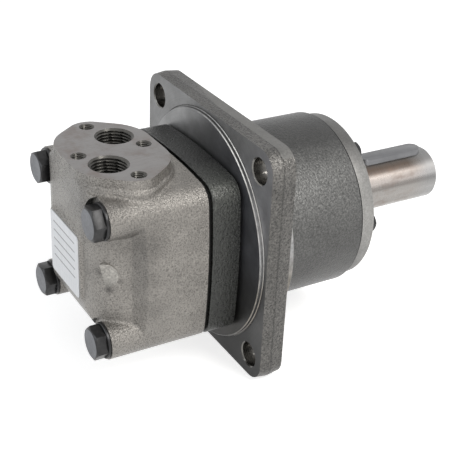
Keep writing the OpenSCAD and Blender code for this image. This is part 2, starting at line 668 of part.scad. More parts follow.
// A splined link between two points; its rear end sits in the eccentric star
module drive_link() color([0.38, 0.38, 0.40]) translate([eccentricity, star_crown_y, 0]) rotate([0, 0, link_tilt]) {
    reach = link_span / cos(link_tilt);
    for (y = [0, reach]) y_prism(y - link_crown_len / 2, y + link_crown_len / 2)
        polygon(spline_points(spline_r, spline_depth, spline_n));
    y_rod(link_shank_d / 2, 0, reach);
    y_cone(link_shank_d / 2, 3, reach + link_crown_len / 2, thrust_y - star_crown_y - 0.1);
}
module valve_drive_link() color([0.38, 0.38, 0.40]) translate([eccentricity, valve_star_y, 0])
    rotate([0, 0, -valve_link_tilt]) {
        reach = valve_link_span / cos(valve_link_tilt);
        y_prism(-valve_crown_len / 2, valve_crown_len / 2 - 0.4) polygon(spline_points(spline_r, spline_depth, spline_n));
        y_prism(-reach - valve_crown_len / 2, -reach + valve_crown_len / 2)
            polygon(spline_points(valve_spline_r, spline_depth, spline_n));
        y_rod(valve_link_shank_d / 2, -reach, 0);
    }

module wear_plate() color(steel_colour) difference() {
    y_rod(plate_d / 2, ring_front_y, ring_front_y + wear_plate_t);
    y_rod(plate_hole_d / 2, ring_front_y - 1, ring_front_y + wear_plate_t + 1);
}

module body_o_ring(y) color(rubber_colour) translate([0, y, 0]) turned()
    translate([body_o_ring_pcd / 2, 0]) circle(d = body_o_ring_d - 0.1, $fn = 24);
module front_body_o_ring() body_o_ring(ring_front_y + body_o_ring_d / 2);
module rear_body_o_ring() body_o_ring(ring_rear_y - body_o_ring_d / 2);

module gerolor_ring() color(dark_colour) difference() {
    y_prism(ring_rear_y, ring_front_y) body_outline();
    y_rod((roller_pcd - 3) / 2, ring_rear_y - 1, ring_front_y + 1);
    around(7, roller_pcd / 2) y_rod(roller_d / 2 + fit, ring_rear_y - 1, ring_front_y + 1);
    at_bolts() y_rod(bolt_hole_r, ring_rear_y - 1, ring_front_y + 1);
    pin_place() y_rod(pin_d / 2 + fit, ring_rear_y - 1, ring_front_y + 1);
}
module gerolor_star() color(steel_colour) difference() {
    translate([eccentricity, 0, 0]) y_prism(ring_rear_y + face_gap, ring_front_y - face_gap) polygon(star_points(144));
    translate([eccentricity, 0, 0]) y_prism(ring_rear_y - 1, ring_front_y + 1)
        polygon(spline_points(spline_r, spline_depth, spline_n, spline_fit));
}
module gerolor_roller(k) color(steel_colour)
    translate([roller_pcd / 2 * cos(360 * k / 7), 0, roller_pcd / 2 * sin(360 * k / 7)])
        y_rod(roller_d / 2, ring_rear_y + face_gap, ring_front_y - face_gap);

module valve_plate() color(steel_colour) difference() {
    y_rod(plate_d / 2, valve_plate_y, ring_rear_y);
    y_rod(valve_link_shank_d / 2 + eccentricity + 2, valve_plate_y - 1, ring_rear_y + 1);
    y_rod(plate_hole_d / 2, ring_rear_y - 3, ring_rear_y + 1);
    around(7, valve_port_pcd / 2 + 0.5, 180 / 7) y_rod(valve_port_d / 2, valve_plate_y - 1, ring_rear_y + 1);
}
module disc_valve() color(bronze_colour) difference() {
    y_rod(disc_valve_d / 2, disc_valve_y + face_gap, valve_plate_y - face_gap);
    y_prism(disc_valve_y - 1, valve_plate_y + 1)
        polygon(spline_points(valve_spline_r, spline_depth, spline_n, spline_fit));
    around(6, valve_port_pcd / 2) y_rod(valve_port_d / 2, disc_valve_y - 1, valve_plate_y + 1);
    around(6, valve_port_pcd / 2, 30) y_rod(valve_port_d / 2, valve_plate_y - disc_valve_t / 2, valve_plate_y + 1);
    for (i = [0 : 5]) rotate([0, 60 * i + 30, 0])
        translate([valve_port_pcd / 2, valve_plate_y - disc_valve_t / 2 + 1, -valve_slot_w / 2])
            cube([disc_valve_d, disc_valve_t / 2, valve_slot_w]);
}
valve_slot_w = valve_port_d - 1;
balance_inner_d = 30;
module balance_plate() color(steel_colour) difference() {
    y_rod(balance_d / 2, balance_y, disc_valve_y);
    y_rod(balance_inner_d / 2 - 3, balance_y - 1, disc_valve_y + 1);
    for (seat = [balance_d / 2 + 1, balance_inner_d / 2 + 3]) difference() {
        y_rod(seat, balance_y + 2, balance_y + 2 + seal_groove_w);
        y_rod(seat - 3.2, balance_y + 1, balance_y + 3 + seal_groove_w);
    }
    around(balance_spring_n, balance_spring_ring) y_rod(balance_spring_d / 2 + 0.3, balance_y - 1, balance_y + 3);
}
seal_groove_w = 2.4;
balance_spring_ring = balance_d / 2 - balance_spring_inset;
module balance_springs() color(steel_colour) around(balance_spring_n, balance_spring_ring) difference() {
    y_rod(balance_spring_d / 2, chamber_end_y, balance_y + 3);
    y_rod(balance_spring_d / 2 - 0.7, chamber_end_y - 1, balance_y + 2 * overcut);
}
module balance_seal(r) color(rubber_colour) translate([0, balance_y + 2 + seal_groove_w / 2, 0]) turned()
    translate([r, 0]) circle(d = 2, $fn = 24);
module balance_outer_seal() balance_seal(balance_d / 2 - 1.1);
module balance_inner_seal() balance_seal(balance_inner_d / 2 + 1.5);

module valve_housing() color(cast_colour) difference() {
    union() {
        intersection() {
            y_prism(rear_face_y, housing_front_y) body_outline();
            translate([0, 0, -body_half - overcut]) linear_extrude(2 * (body_half + overcut)) hollow_outline();
            valve_housing_side();
        }
        y_prism(housing_front_y - 1, ring_rear_y) body_outline(seam_inset);
        at_bolts() y_rod(bolt_wall_r, bolt_seat_y, hollow_y + 2);
        translate([0, port_pad_y, 0]) linear_extrude(port_face_z) pad_outline();
        translate([0, rear_face_y - plate_pad_t, name_plate_z]) rotate([-90, 0, 0])
            linear_extrude(plate_pad_t + 2 * overcut) round_plate(plate_pad_w, plate_pad_h, 3);
        translate([rear_half - rear_edge_r, rear_face_y + rear_edge_r, nub_z]) rotate([0, 90, -45])
            translate([0, 0, rear_edge_r / 2]) cylinder(d = nub_d, h = rear_edge_r / 2 + nub_proud);
    }
    y_rod(plate_d / 2 + fit, valve_plate_y, ring_rear_y + 1);
    y_rod(chamber_d / 2, chamber_step_y, ring_rear_y + 1);
    y_rod(balance_d / 2 + fit, chamber_end_y, ring_rear_y + 1);
    o_ring_groove(ring_rear_y - body_o_ring_d, ring_rear_y + 0.01);
    at_bolts() {
        y_rod(bolt_hole_r, rear_face_y - 5, ring_rear_y + 1);
        y_rod(spot_face_r, rear_face_y - 10, bolt_seat_y);
    }
    pin_place() y_rod(pin_d / 2 + fit, ring_rear_y - 6, ring_rear_y + 1);
    port_hole(port_a, port_face_z - port_thread_len - 28);
    port_hole(port_b, port_face_z - port_thread_len - 12);
    translate([port_a[0], chamber_end_y + 1, 12]) rotate([90, 0, 0])
        cylinder(d = channel_d, h = chamber_end_y + 1 - port_a[1]);
    for (p = [[tap_span_x / 2, 0], [-tap_span_x / 2, 0], [0, tap_span_y / 2], [0, -tap_span_y / 2]])
        translate([p[0], port_pad_y + p[1], 0]) tapped_hole();
    for (s = [-1, 1]) translate([s * port_dx, check_y, 0]) check_bore();
    translate([port_dx, check_y, check_seat_z]) cylinder(d = check_hole_d, h = 12 - check_seat_z);
    translate([-port_dx, check_y, check_seat_z]) cylinder(d = check_hole_d, h = relief_z - check_seat_z);
    translate([-port_dx, chamber_step_y - 1, relief_z]) rotate([90, 0, 0])
        cylinder(d = check_hole_d, h = chamber_step_y - 1 - check_y);
    translate([-body_half - 1, drain_y, 0]) rotate([0, 90, 0]) {
        cylinder(d = drain_d + 2 * fit, h = body_half + 1 - chamber_d / 2 + 1);
        cylinder(d = drain_head_d + 3, h = 1.5 + drain_spot);
    }
}
relief_z = 29.5;
drain_spot = 0.6;

// Side view of the valve housing: hollow below, round at the lower rear edge
module valve_housing_side() {
    high = port_face_z + 1;
    rotate([90, 0, 90]) translate([0, 0, -body_half - overcut]) linear_extrude(2 * (body_half + overcut)) union() {
        polygon([[housing_front_y, high], [rear_face_y, high], [rear_face_y, -(rear_half - rear_edge_r)],
            [round_y, -rear_reach(round_y)], [hollow_y, -body_half - 1], [housing_front_y, -body_half - 1]]);
        translate([rear_face_y + rear_edge_r, -(rear_half - rear_edge_r)]) circle(rear_edge_r, $fn = 96);
    }
}

// A threaded port: core bore, chamfered mouth and the drilled hole below it
module port_hole(at, bottom_z) translate([at[0], at[1], 0]) {
    translate([0, 0, port_face_z - port_thread_len]) cylinder(d = port_core_d, h = port_thread_len + 1);
    translate([0, 0, port_face_z - 1.2]) cylinder(d1 = port_core_d, d2 = port_major_d + 0.4, h = 1.201);
    translate([0, 0, bottom_z]) cylinder(d = channel_d, h = port_face_z - bottom_z);
}
module tapped_hole() {
    translate([0, 0, port_face_z - tap_len]) cylinder(d = tap_d, h = tap_len + 1);
    translate([0, 0, port_face_z - 0.8]) cylinder(d1 = tap_d, d2 = tap_d + 1.6, h = 0.801);
}

// The bore of a check valve, with its conical seat on top and its plug's thread below
module check_bore() {
    translate([0, 0, check_bottom_z - 6]) cylinder(d = check_plug_d + 2 * fit, h = check_plug_top_z - check_bottom_z + 6);
    rotate_extrude() polygon([[0, check_plug_top_z - 1], [check_bore_r, check_plug_top_z - 1],
        [check_bore_r, check_ball_z + check_cone - check_bore_r], [check_hole_d / 2, check_seat_z],
        [check_hole_d / 2, check_seat_z + 1], [0, check_seat_z + 1]]);
}

// A flat outline with round corners, w by h
module round_plate(w, h, r) {
    square([w - 2 * r, h], center = true);
    square([w, h - 2 * r], center = true);
    for (sx = [-1, 1], sy = [-1, 1]) translate([sx * (w / 2 - r), sy * (h / 2 - r)]) circle(r, $fn = 32);
}

module through_bolts() color(oxide_colour) at_bolts() {
    y_rod(bolt_d / 2, bolt_seat_y - bolt_washer_t - 0.5, ring_front_y + bolt_engage);
    translate([0, bolt_seat_y - bolt_washer_t, 0]) rotate([180, 0, 0]) rotate([0, 30, 0])
        hex_head(bolt_af, bolt_head_h, 0);
}
module bolt_washers() color(oxide_colour) at_bolts() difference() {
    y_rod(bolt_washer_d / 2, bolt_seat_y - bolt_washer_t, bolt_seat_y);
    y_rod(bolt_d / 2 + fit, bolt_seat_y - bolt_washer_t - 1, bolt_seat_y + 1);
}
module name_plate() color([0.80, 0.80, 0.80])
    translate([0, rear_face_y - plate_pad_t, name_plate_z]) rotate([90, 0, 0])
        linear_extrude(name_plate_t) round_plate(name_plate_w, name_plate_h, 2.5);

module check_ball(s) color(steel_colour) translate([s * port_dx, check_y, check_ball_z]) sphere(d = check_ball_d, $fn = 32);
module check_ball_a() check_ball(1);
module check_ball_b() check_ball(-1);
check_spring_top_z = check_ball_z - check_ball_r * 0.8 - 0.1;
module check_spring(s) color(steel_colour) translate([s * port_dx, check_y, check_plug_top_z]) difference() {
    cylinder(r = check_ball_r - 0.6, h = check_spring_top_z - check_plug_top_z, $fn = 32);
    translate([0, 0, -1]) cylinder(r = check_ball_r - 1.2, h = check_spring_top_z - check_plug_top_z + 2, $fn = 32);
}
module check_spring_a() check_spring(1);
module check_spring_b() check_spring(-1);
module check_plugs() color(oxide_colour) for (s = [-1, 1]) translate([s * port_dx, check_y, 0]) difference() {
    translate([0, 0, check_plug_top_z - check_plug_len]) cylinder(d = check_plug_d, h = check_plug_len);
    translate([0, 0, check_bottom_z]) cylinder(d = check_socket_af / cos(30), h = check_plug_sink + check_socket_h, $fn = 6);
}

drain_seat_x = -body_half + 0.5 + drain_spot;
module drain_plug() color(oxide_colour) translate([drain_seat_x - drain_seal_t, drain_y, 0]) rotate([0, 90, 0]) difference() {
    union() {
        translate([0, 0, -drain_head_h]) cylinder(d = drain_head_d, h = drain_head_h);
        translate([0, 0, -drain_head_h]) cylinder(d = drain_d, h = drain_head_h + drain_len);
    }
    translate([0, 0, -drain_head_h - 1]) cylinder(d = drain_socket_af / cos(30), h = drain_socket_h + 1, $fn = 6);
}
module drain_plug_seal() color(rubber_colour) translate([drain_seat_x - drain_seal_t, drain_y, 0]) rotate([0, 90, 0])
    difference() {
        cylinder(d = drain_head_d - 0.6, h = drain_seal_t);
        translate([0, 0, -1]) cylinder(d = drain_d + 2 * fit, h = drain_seal_t + 2);
    }
module alignment_pin() color(steel_colour) pin_place() y_rod(pin_d / 2, ring_rear_y - 5.5, ring_front_y + 5.5);

front_housing();
front_cover();
cover_screws();
cover_o_ring();
dust_seal();
shaft_seal();
output_shaft();
shaft_key();
front_bearing_cup();
front_bearing_cone();
front_bearing_rollers();
front_bearing_cage();
rear_bearing_cup();
rear_bearing_cone();
rear_bearing_rollers();
rear_bearing_cage();
bearing_lock_nut();
lock_washer();
thrust_washer();
drive_link();
wear_plate();
front_body_o_ring();
rear_body_o_ring();
gerolor_ring();
gerolor_star();
gerolor_roller(0);  // gerolor_roller_1
gerolor_roller(1);  // gerolor_roller_2
gerolor_roller(2);  // gerolor_roller_3
gerolor_roller(3);  // gerolor_roller_4
gerolor_roller(4);  // gerolor_roller_5
gerolor_roller(5);  // gerolor_roller_6
gerolor_roller(6);  // gerolor_roller_7
valve_plate();
valve_drive_link();
disc_valve();
balance_plate();
balance_springs();
balance_outer_seal();
balance_inner_seal();
valve_housing();
through_bolts();
bolt_washers();
name_plate();
check_ball_a();
check_ball_b();
check_spring_a();
check_spring_b();
check_plugs();
drain_plug();
drain_plug_seal();
alignment_pin();
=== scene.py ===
"""Looks of the hydraulic wheel motor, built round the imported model.

Sizes are in millimetres until make_object."""

import json
import math

import bmesh
import bpy
import numpy as np
from mathutils import Matrix, Vector


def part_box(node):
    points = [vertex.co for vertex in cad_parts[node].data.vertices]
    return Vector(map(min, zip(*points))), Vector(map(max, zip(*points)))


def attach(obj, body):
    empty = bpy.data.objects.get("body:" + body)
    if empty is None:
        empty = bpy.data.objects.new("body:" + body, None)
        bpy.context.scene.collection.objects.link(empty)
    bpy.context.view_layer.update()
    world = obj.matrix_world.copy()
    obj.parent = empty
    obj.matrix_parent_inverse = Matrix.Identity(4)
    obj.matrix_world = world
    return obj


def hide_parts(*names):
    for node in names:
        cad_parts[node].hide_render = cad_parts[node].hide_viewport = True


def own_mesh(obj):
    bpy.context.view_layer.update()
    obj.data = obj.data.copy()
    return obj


MM = 0.001

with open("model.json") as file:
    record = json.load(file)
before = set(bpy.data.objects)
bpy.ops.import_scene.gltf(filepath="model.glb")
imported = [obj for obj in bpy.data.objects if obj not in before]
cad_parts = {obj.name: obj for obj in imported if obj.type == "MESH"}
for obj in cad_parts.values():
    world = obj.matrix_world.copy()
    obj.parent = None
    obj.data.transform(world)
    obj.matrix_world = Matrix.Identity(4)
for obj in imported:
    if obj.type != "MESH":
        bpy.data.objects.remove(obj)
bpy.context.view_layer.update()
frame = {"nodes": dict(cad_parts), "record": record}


def cad_mm(node):
    """Lowest and highest corners of a CAD node, in millimetres."""
    low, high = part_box(node)
    return low / MM, high / MM


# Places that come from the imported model
RING_LOW, RING_HIGH = cad_mm("gerolor_ring")
KEY_LOW, KEY_HIGH = cad_mm("shaft_key")
BOLT_LOW, BOLT_HIGH = cad_mm("through_bolts")
WASHER_LOW, WASHER_HIGH = cad_mm("bolt_washers")
PLATE_LOW, PLATE_HIGH = cad_mm("name_plate")
SCREW_LOW, SCREW_HIGH = cad_mm("cover_screws")
RING_REAR_Y = RING_LOW.y
RING_FRONT_Y = RING_HIGH.y
SEAT_Y = WASHER_HIGH.y
PAD_Z = cad_mm("valve_housing")[1].z
FLOOR_Z = cad_mm("front_housing")[0].z
COVER_Y = cad_mm("front_cover")[1].y
SHAFT_Y = cad_mm("output_shaft")[1].y

# Clearance of a close fit, and how far a cutting tool runs past the face that it cuts
FIT = 0.04
PAST = 1.0

# Body section
BOLT_HALF = 35.8
WALL_R = 10.7
ARCH = 2.0
BODY_HALF = BOLT_HALF + WALL_R + ARCH
WIDE = BODY_HALF + 2.0
SEAM_INSET = 2.2

# Valve housing
FRONT_Y = RING_REAR_Y - 2.6
BLANK_Y = FRONT_Y + 3.0
REAR_Y = -82.8
HOLLOW_Y = -57.0
HOLLOW_RUN = 7.0
HOLLOW_DEPTH = 7.5
REAR_HALF = BODY_HALF - HOLLOW_DEPTH
REAR_R = 23.0
SPOT_R = 12.6
PAD_Y = -56.4
PAD_HALF_X = 40.0
PAD_HALF_Y = 26.4
PAD_END_R = 12.0
PAD_ARC_X = 10.0
SKIRT_GROW = 1.6
SKIRT_Z = 49.6
PORTS = ((15.5, PAD_Y - 8.5), (-15.5, PAD_Y + 8.5))
PORT_CORE_R = 9.315
PORT_MAJOR_R = 10.4775
PORT_PITCH = 1.814
PORT_DEPTH = 17.0
TAPS = ((33.0, PAD_Y), (-33.0, PAD_Y), (0.0, PAD_Y + 18.7), (0.0, PAD_Y - 18.7))
TAP_CORE_R = 3.4
TAP_MAJOR_R = 4.0
TAP_PITCH = 1.25
TAP_DEPTH = 13.0
CHANNEL_R = 5.5
CHANNEL_DEPTHS = (28.0, 12.0)
PLATE_PAD = (41.0, 39.0, 1.4)
PLATE_Z = 0.5
PLATE_R = 2.5
RULE_PITCH = 5.2
RULE_SHARE = 0.16
RULED_HALF_X = 14.5
RULED_HALF_Z = 13.5
RULED_Z = 1.5
NUB_R = 7.0
NUB_PROUD = 1.3
NUB_Z = 3.2
NUB_TURN = math.radians(45)
NUB_FACE = math.radians(28)
NUB_ARC = (-84, 110)
CHECK_Y = -69.0
CHECK_HOLE_R = 2.0
CHECK_SEAT_Z = -14.0
CHECK_BALL_SEAT_R = 3.5
CHECK_PLUG_R = 6.0
CHECK_PLUG_Z = (-46.0, -30.1)
CHECK_GUIDE_Z = (-31.0, 12.0)
DRAIN_Y = -41.0
DRAIN_R = 6.5
DRAIN_END_X = -35.0
DRAIN_SEAT_R = 10.5
DRAIN_SEAT_DEPTH = 1.1
CAVITY = ((40 + FIT, RING_REAR_Y + PAST, -32.4), (36.0, -32.4, -49.0), (30 + FIT, -49.0, -60.0))
BALANCE_N = 6
BALANCE_RING_R = 22.5

# Gear ring
RING_BORE_R = 31.0
ROLLER_N = 7
ROLLER_R = 8.0
ROLLER_RING_R = 32.5
PIN_R = 2.0
PIN_AT = (47.8 * math.cos(math.radians(30)), -47.8 * math.sin(math.radians(30)))

# Fasteners
BOLT_R = 5.0
BOLT_FLATS = 17.0
BOLT_HOLE_R = 5.3
BOLT_TAP_Y = 13.7
WASHER_R = 10.0
WASHER_BORE_R = 5.1
SCREW_N = 6
SCREW_RING_R = 41.5
SCREW_R = 3.0
SCREW_FLATS = 10.0
SCREW_HOLE_R = 3.3
SCREW_TAP_DEPTH = 21.5

# Front housing
FLANGE_HALF = 70.0
FLANGE_T = 14.0
FLANGE_R = 11.5
PARTING_Y = 6.5
DRAFT = 0.7
HOLE_R = 7.0
HOLE_HALF = 80.0 * math.sqrt(0.5)
REGISTER_R = 66.7
REGISTER_H = 2.4
REGISTER_FOOT = 0.4
PILOT_R = 62.5
PILOT_Y = 22.0
NOSE_R = 51.4
NOSE_Y = 76.0
FILLET_R = 6.0
NOSE_BORE_R = 34.0
WEAR_SEAT_R = 40.0
WEAR_SEAT_Y = 2.2
WEB_R = 25.0
WEB_Y = 14.0

# Front cover
COVER_R = 49.2
COVER_BORE_R = 29.0
SPIGOT_Y = 64.0
COVER_LIP_R = 19.0
SHAFT_SEAL_R = 26.0
SHAFT_SEAL_Y = (73.0, 81.0)
DUST_SEAL_R = 22.5
DUST_SEAL_DEPTH = 3.0

# Shaft
SHAFT_R = 16.0
SHAFT_REAR_Y = 10.0
LIP_Y = 81.2
SEAL_R = 17.5
JOURNAL_R = 20.0
COLLAR_R = 25.0
COLLAR_Y = (33.0, 45.0)
NUT_R = 19.5
NUT_Y = (63.5, 71.7)
SPLINE_N = 12
SPLINE_TIP_R = 12.45
SPLINE_ROOT_R = 10.45
SPLINE_TIP_TURN = 7.4
SPLINE_ROOT_TURN = 11.6
SPLINE_Y = (9.0, 39.0)
SPLINE_ENTRY = (12.85, 9.0, 26.0)
SPLINE_DEEP = (11.0, 38.0, 42.3)
KEY_HALF = 5.0


def add_object(name, data):
    obj = bpy.data.objects.new(name, data)
    bpy.context.scene.collection.objects.link(obj)
    return obj


def make_object(name, verts, faces):
    """A mesh object from millimetre coordinates, with its normals outwards."""
    mesh = bpy.data.meshes.new(name)
    mesh.from_pydata([Vector(v) * MM for v in verts], [], faces)
    work = bmesh.new()
    work.from_mesh(mesh)
    bmesh.ops.recalc_face_normals(work, faces=work.faces)
    work.to_mesh(mesh)
    work.free()
    return add_object(name, mesh)


def apply_modifiers(obj):
    """Bakes the object's modifiers into its mesh."""
    graph = bpy.context.evaluated_depsgraph_get()
    mesh = bpy.data.meshes.new_from_object(obj.evaluated_get(graph))
    old = obj.data
    obj.modifiers.clear()
    obj.data = mesh
    bpy.data.meshes.remove(old)


def combine(obj, other, operation):
    """Boolean of two solids; the second one is used up."""
    tool = obj.modifiers.new("boolean", "BOOLEAN")
    tool.operation = operation
    tool.solver = "MANIFOLD"
    tool.object = other
    apply_modifiers(obj)
    mesh = other.data
    bpy.data.objects.remove(other)
    bpy.data.meshes.remove(mesh)


def join_all(obj, others):
    for other in others:
        combine(obj, other, "UNION")


def cut_all(obj, others):
    for other in others:
        combine(obj, other, "DIFFERENCE")


def loft(name, sections):
    """A solid through sections, which are rings of points of one length."""
    count = len(sections[0])
    verts = [p for ring in sections for p in ring]
    faces = [tuple(range(count)), tuple(range(len(verts) - count, len(verts)))]
    for k in range(len(sections) - 1):
        for i in range(count):
            j = (i + 1) % count
            faces.append((k * count + i, k * count + j, (k + 1) * count + j, (k + 1) * count + i))
    return make_object(name, verts, faces)


def prism(name, outline, t0, t1, axis="y"):
    """Outline of (x, z) points made solid along y, or of (x, y) along z, or of (y, z) along x."""
    return loft(name, [[place(u, v, t, (0.0, 0.0), axis) for u, v in outline] for t in (t0, t1)])


def turned(name, profile, steps=128, centre=(0.0, 0.0), axis="y"):
    """A closed profile of (radius, place along the axis) points, turned about that axis."""
    verts, rings, faces = [], [], []
    for r, t in profile:
        if r < 1e-6:
            rings.append([len(verts)] * steps)
            verts.append(place(0.0, 0.0, t, centre, axis))
            continue
        rings.append(list(range(len(verts), len(verts) + steps)))
        for i in range(steps):
            a = 2 * math.pi * i / steps
            verts.append(place(r * math.cos(a), r * math.sin(a), t, centre, axis))
    for k in range(len(rings)):
        a, b = rings[k], rings[(k + 1) % len(rings)]
        for i in range(steps):
            j = (i + 1) % steps
            face = []
            for v in (a[i], a[j], b[j], b[i]):
                if v not in face:
                    face.append(v)
            if len(face) > 2:
                faces.append(tuple(face))
    return make_object(name, verts, faces)


def place(u, v, t, centre, axis):
    """A point at u, v across an axis that runs through centre, t along it."""
    u, v = u + centre[0], v + centre[1]
    return {"y": (u, t, v), "z": (u, v, t), "x": (t, u, v)}[axis]


def rod(name, r, t0, t1, centre=(0.0, 0.0), axis="y", steps=96):
    return turned(name, [(0, t0), (r, t0), (r, t1), (0, t1)], steps, centre, axis)


def threaded_rod(name, centre, bottom, top, core, major, pitch, axis, steps):
    """A screw-shaped solid, used to cut a threaded hole; its flanks are part of the mesh."""
    rows = max(2, round((top - bottom) / (pitch / 10)))
    verts, faces = [], []
    for k in range(rows + 1):
        t = bottom + (top - bottom) * k / rows
        for i in range(steps):
            phase = (t / pitch - i / steps) % 1.0
            rise = min(1.0, max(0.0, 2.4 * min(phase, 1 - phase) - 0.1))
            r = core + (major - core) * rise
            a = 2 * math.pi * i / steps
            verts.append(place(r * math.cos(a), r * math.sin(a), t, centre, axis))
    for k in range(rows):
        for i in range(steps):
            j = (i + 1) % steps
            faces.append((k * steps + i, k * steps + j, (k + 1) * steps + j, (k + 1) * steps + i))
    for k, t in ((0, bottom), (rows, top)):
        verts.append(place(0.0, 0.0, t, centre, axis))
        for i in range(steps):
            faces.append((k * steps + i, k * steps + (i + 1) % steps, len(verts) - 1))
    return make_object(name, verts, faces)


def arc(cx, cy, r, a0, a1, steps):
    """Points on an arc, angles in degrees."""
    angles = [math.radians(a0 + (a1 - a0) * i / steps) for i in range(steps + 1)]
    return [(cx + r * math.cos(a), cy + r * math.sin(a)) for a in angles]


def round_rect(half_x, half_y, r, steps=10):
    points = []
    for k, (sx, sy) in enumerate(((1, 1), (-1, 1), (-1, -1), (1, -1))):
        points += arc(sx * (half_x - r), sy * (half_y - r), r, 90 * k, 90 * k + 90, steps)
    return points


def body_points(inset=0.0, side_steps=20, corner_steps=10):
    """Section of the body: arched sides between round corners that are centred on the bolts."""
    span = BOLT_HALF + ARCH
    shift = (2 * BOLT_HALF**2 - span**2) / (2 * ARCH)
    tilt = math.degrees(math.atan2(BOLT_HALF, BOLT_HALF + shift))
    quarter = arc(-shift, 0, BODY_HALF - inset + shift, -tilt, tilt, side_steps)[:-1]
    quarter += arc(BOLT_HALF, BOLT_HALF, WALL_R - inset, tilt, 90 - tilt, corner_steps)[:-1]
    points = []
    for k in range(4):
        c, s = (1, 0, -1, 0)[k], (0, 1, 0, -1)[k]
        points += [(c * x - s * y, s * x + c * y) for x, y in quarter]
    return points


def remesh(obj, voxel, smoothing):
    """Turns a hard union into a cast blank: even faces, soft edges."""
    tool = obj.modifiers.new("remesh", "REMESH")
    tool.mode = "VOXEL"
    tool.voxel_size = voxel * MM
    soft = obj.modifiers.new("smooth", "SMOOTH")
    soft.factor = 0.5
    soft.iterations = smoothing
    apply_modifiers(obj)


def complete(obj, materials, body, node, rule=None, angle=32):
    """Smooths and paints a piece that moves with a body and stands for a node.
    rule takes face centres in mm and normals, and gives each face's material number."""
    mesh = obj.data
    mesh.shade_smooth()
    mesh.set_sharp_from_angle(angle=math.radians(angle))
    mesh.materials.clear()
    for material in materials:
        mesh.materials.append(material)
    count = len(mesh.polygons)
    index = np.zeros(count, np.int32)
    if rule:
        centre = np.zeros(count * 3)
        normal = np.zeros(count * 3)
        mesh.polygons.foreach_get("center", centre)
        mesh.polygons.foreach_get("normal", normal)
        index[:] = rule(centre.reshape(-1, 3) / MM, normal.reshape(-1, 3))
    mesh.polygons.foreach_set("material_index", index)
    mesh.update()
    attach(obj, body)
    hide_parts(node)


class Shader:
    """A material whose colour, roughness and relief come from noise in the object's own coordinates."""

    def __init__(self, name):
        self.material = bpy.data.materials.new(name)
        self.material.use_nodes = True
        self.tree = self.material.node_tree
        self.out = self.tree.nodes["Principled BSDF"]
        self.coords = self.tree.nodes.new("ShaderNodeTexCoord").outputs["Object"]

    def node(self, kind, **sockets):
        made = self.tree.nodes.new(kind)
        for key, value in sockets.items():
            self.feed(made.inputs[key.replace("_", " ")], value)
        return made

    def feed(self, socket, value):
        if isinstance(value, bpy.types.NodeSocket):
            self.tree.links.new(value, socket)
        else:
            socket.default_value = value

    def noise(self, scale, detail=4.0, roughness=0.6, stretch=None):
        """Noise with that many waves to the metre, more along some axes where stretch says so."""
        made = self.node("ShaderNodeTexNoise", Scale=scale, Detail=detail, Roughness=roughness)
        coords = self.coords
        if stretch:
            mapping = self.node("ShaderNodeMapping", Vector=coords, Scale=stretch)
            coords = mapping.outputs["Vector"]
        self.feed(made.inputs["Vector"], coords)
        return made.outputs["Fac"]

    def cells(self, scale):
        """Distance from the middle of the nearest random cell."""
        made = self.node("ShaderNodeTexVoronoi", Scale=scale, Vector=self.coords)
        return made.outputs["Distance"]

    def ramp(self, value, *stops):
        """Colour by value: each stop is a place from 0 to 1 and a colour or grey tone."""
        made = self.node("ShaderNodeValToRGB", Fac=value)
        points = made.color_ramp.elements
        while len(points) < len(stops):
            points.new(0.5)
        for point, (at, colour) in zip(points, stops):
            point.position = at
            point.color = (*colour, 1.0) if isinstance(colour, tuple) else (colour, colour, colour, 1.0)
        return made.outputs["Color"]

    def math(self, operation, a, b=0.0):
        made = self.tree.nodes.new("ShaderNodeMath")
        made.operation = operation
        self.feed(made.inputs[0], a)
        self.feed(made.inputs[1], b)
        return made.outputs[0]

    def mix(self, amount, a, b):
        """Colour a where amount is 0, and b where it is 1."""
        made = self.tree.nodes.new("ShaderNodeMix")
        made.data_type = "RGBA"
        self.feed(made.inputs[0], amount)
        for socket, value in ((made.inputs[6], a), (made.inputs[7], b)):
            self.feed(socket, (*value, 1.0) if isinstance(value, tuple) else value)
        return made.outputs[2]

    def tint(self, a, b):
        """Product of two colours."""
        made = self.tree.nodes.new("ShaderNodeMix")
        made.data_type = "RGBA"
        made.blend_type = "MULTIPLY"
        made.inputs[0].default_value = 1.0
        self.feed(made.inputs[6], a)
        self.feed(made.inputs[7], b)
        return made.outputs[2]

    def parts(self):
        """The X, Y and Z of the place, in metres."""
        return self.node("ShaderNodeSeparateXYZ", Vector=self.coords).outputs

    def round_angle(self):
        """Angle about the shaft axis: 0.5 at the top, more towards the right side."""
        xyz = self.parts()
        turn = self.math("ARCTAN2", xyz["X"], xyz["Z"])
        return self.math("ADD", self.math("DIVIDE", turn, 2 * math.pi), 0.5)

    def radius(self):
        """Distance from the shaft axis, in metres."""
        xyz = self.parts()
        squares = [self.math("MULTIPLY", xyz[k], xyz[k]) for k in ("X", "Z")]
        return self.math("SQRT", self.math("ADD", *squares))

    def sweep(self, *stops):
        """Tones round the shaft axis, used to paint light and shade that change with the angle: each stop is
        degrees from the top towards the right, and a tone.
        """
        return self.ramp(self.round_angle(), *((angle / 360 + 0.5, tone) for angle, tone in stops))

    def along(self, value):
        """A vector that only changes with value."""
        return self.node("ShaderNodeCombineXYZ", X=value, Y=0.0, Z=0.0).outputs[0]

    def bump(self, height, distance):
        """Relief of that many millimetres."""
        made = self.node("ShaderNodeBump", Height=height, Distance=distance * MM, Strength=1.0)
        return made.outputs["Normal"]

    def done(self, **sockets):
        """Feeds the surface's sockets and returns the material."""
        for key, value in sockets.items():
            if isinstance(value, tuple) and len(value) == 3:
                value = (*value, 1.0)
            self.feed(self.out.inputs[key.replace("_", " ")], value)
        return self.material


def shade(colour, amount):
    return tuple(c * amount for c in colour)


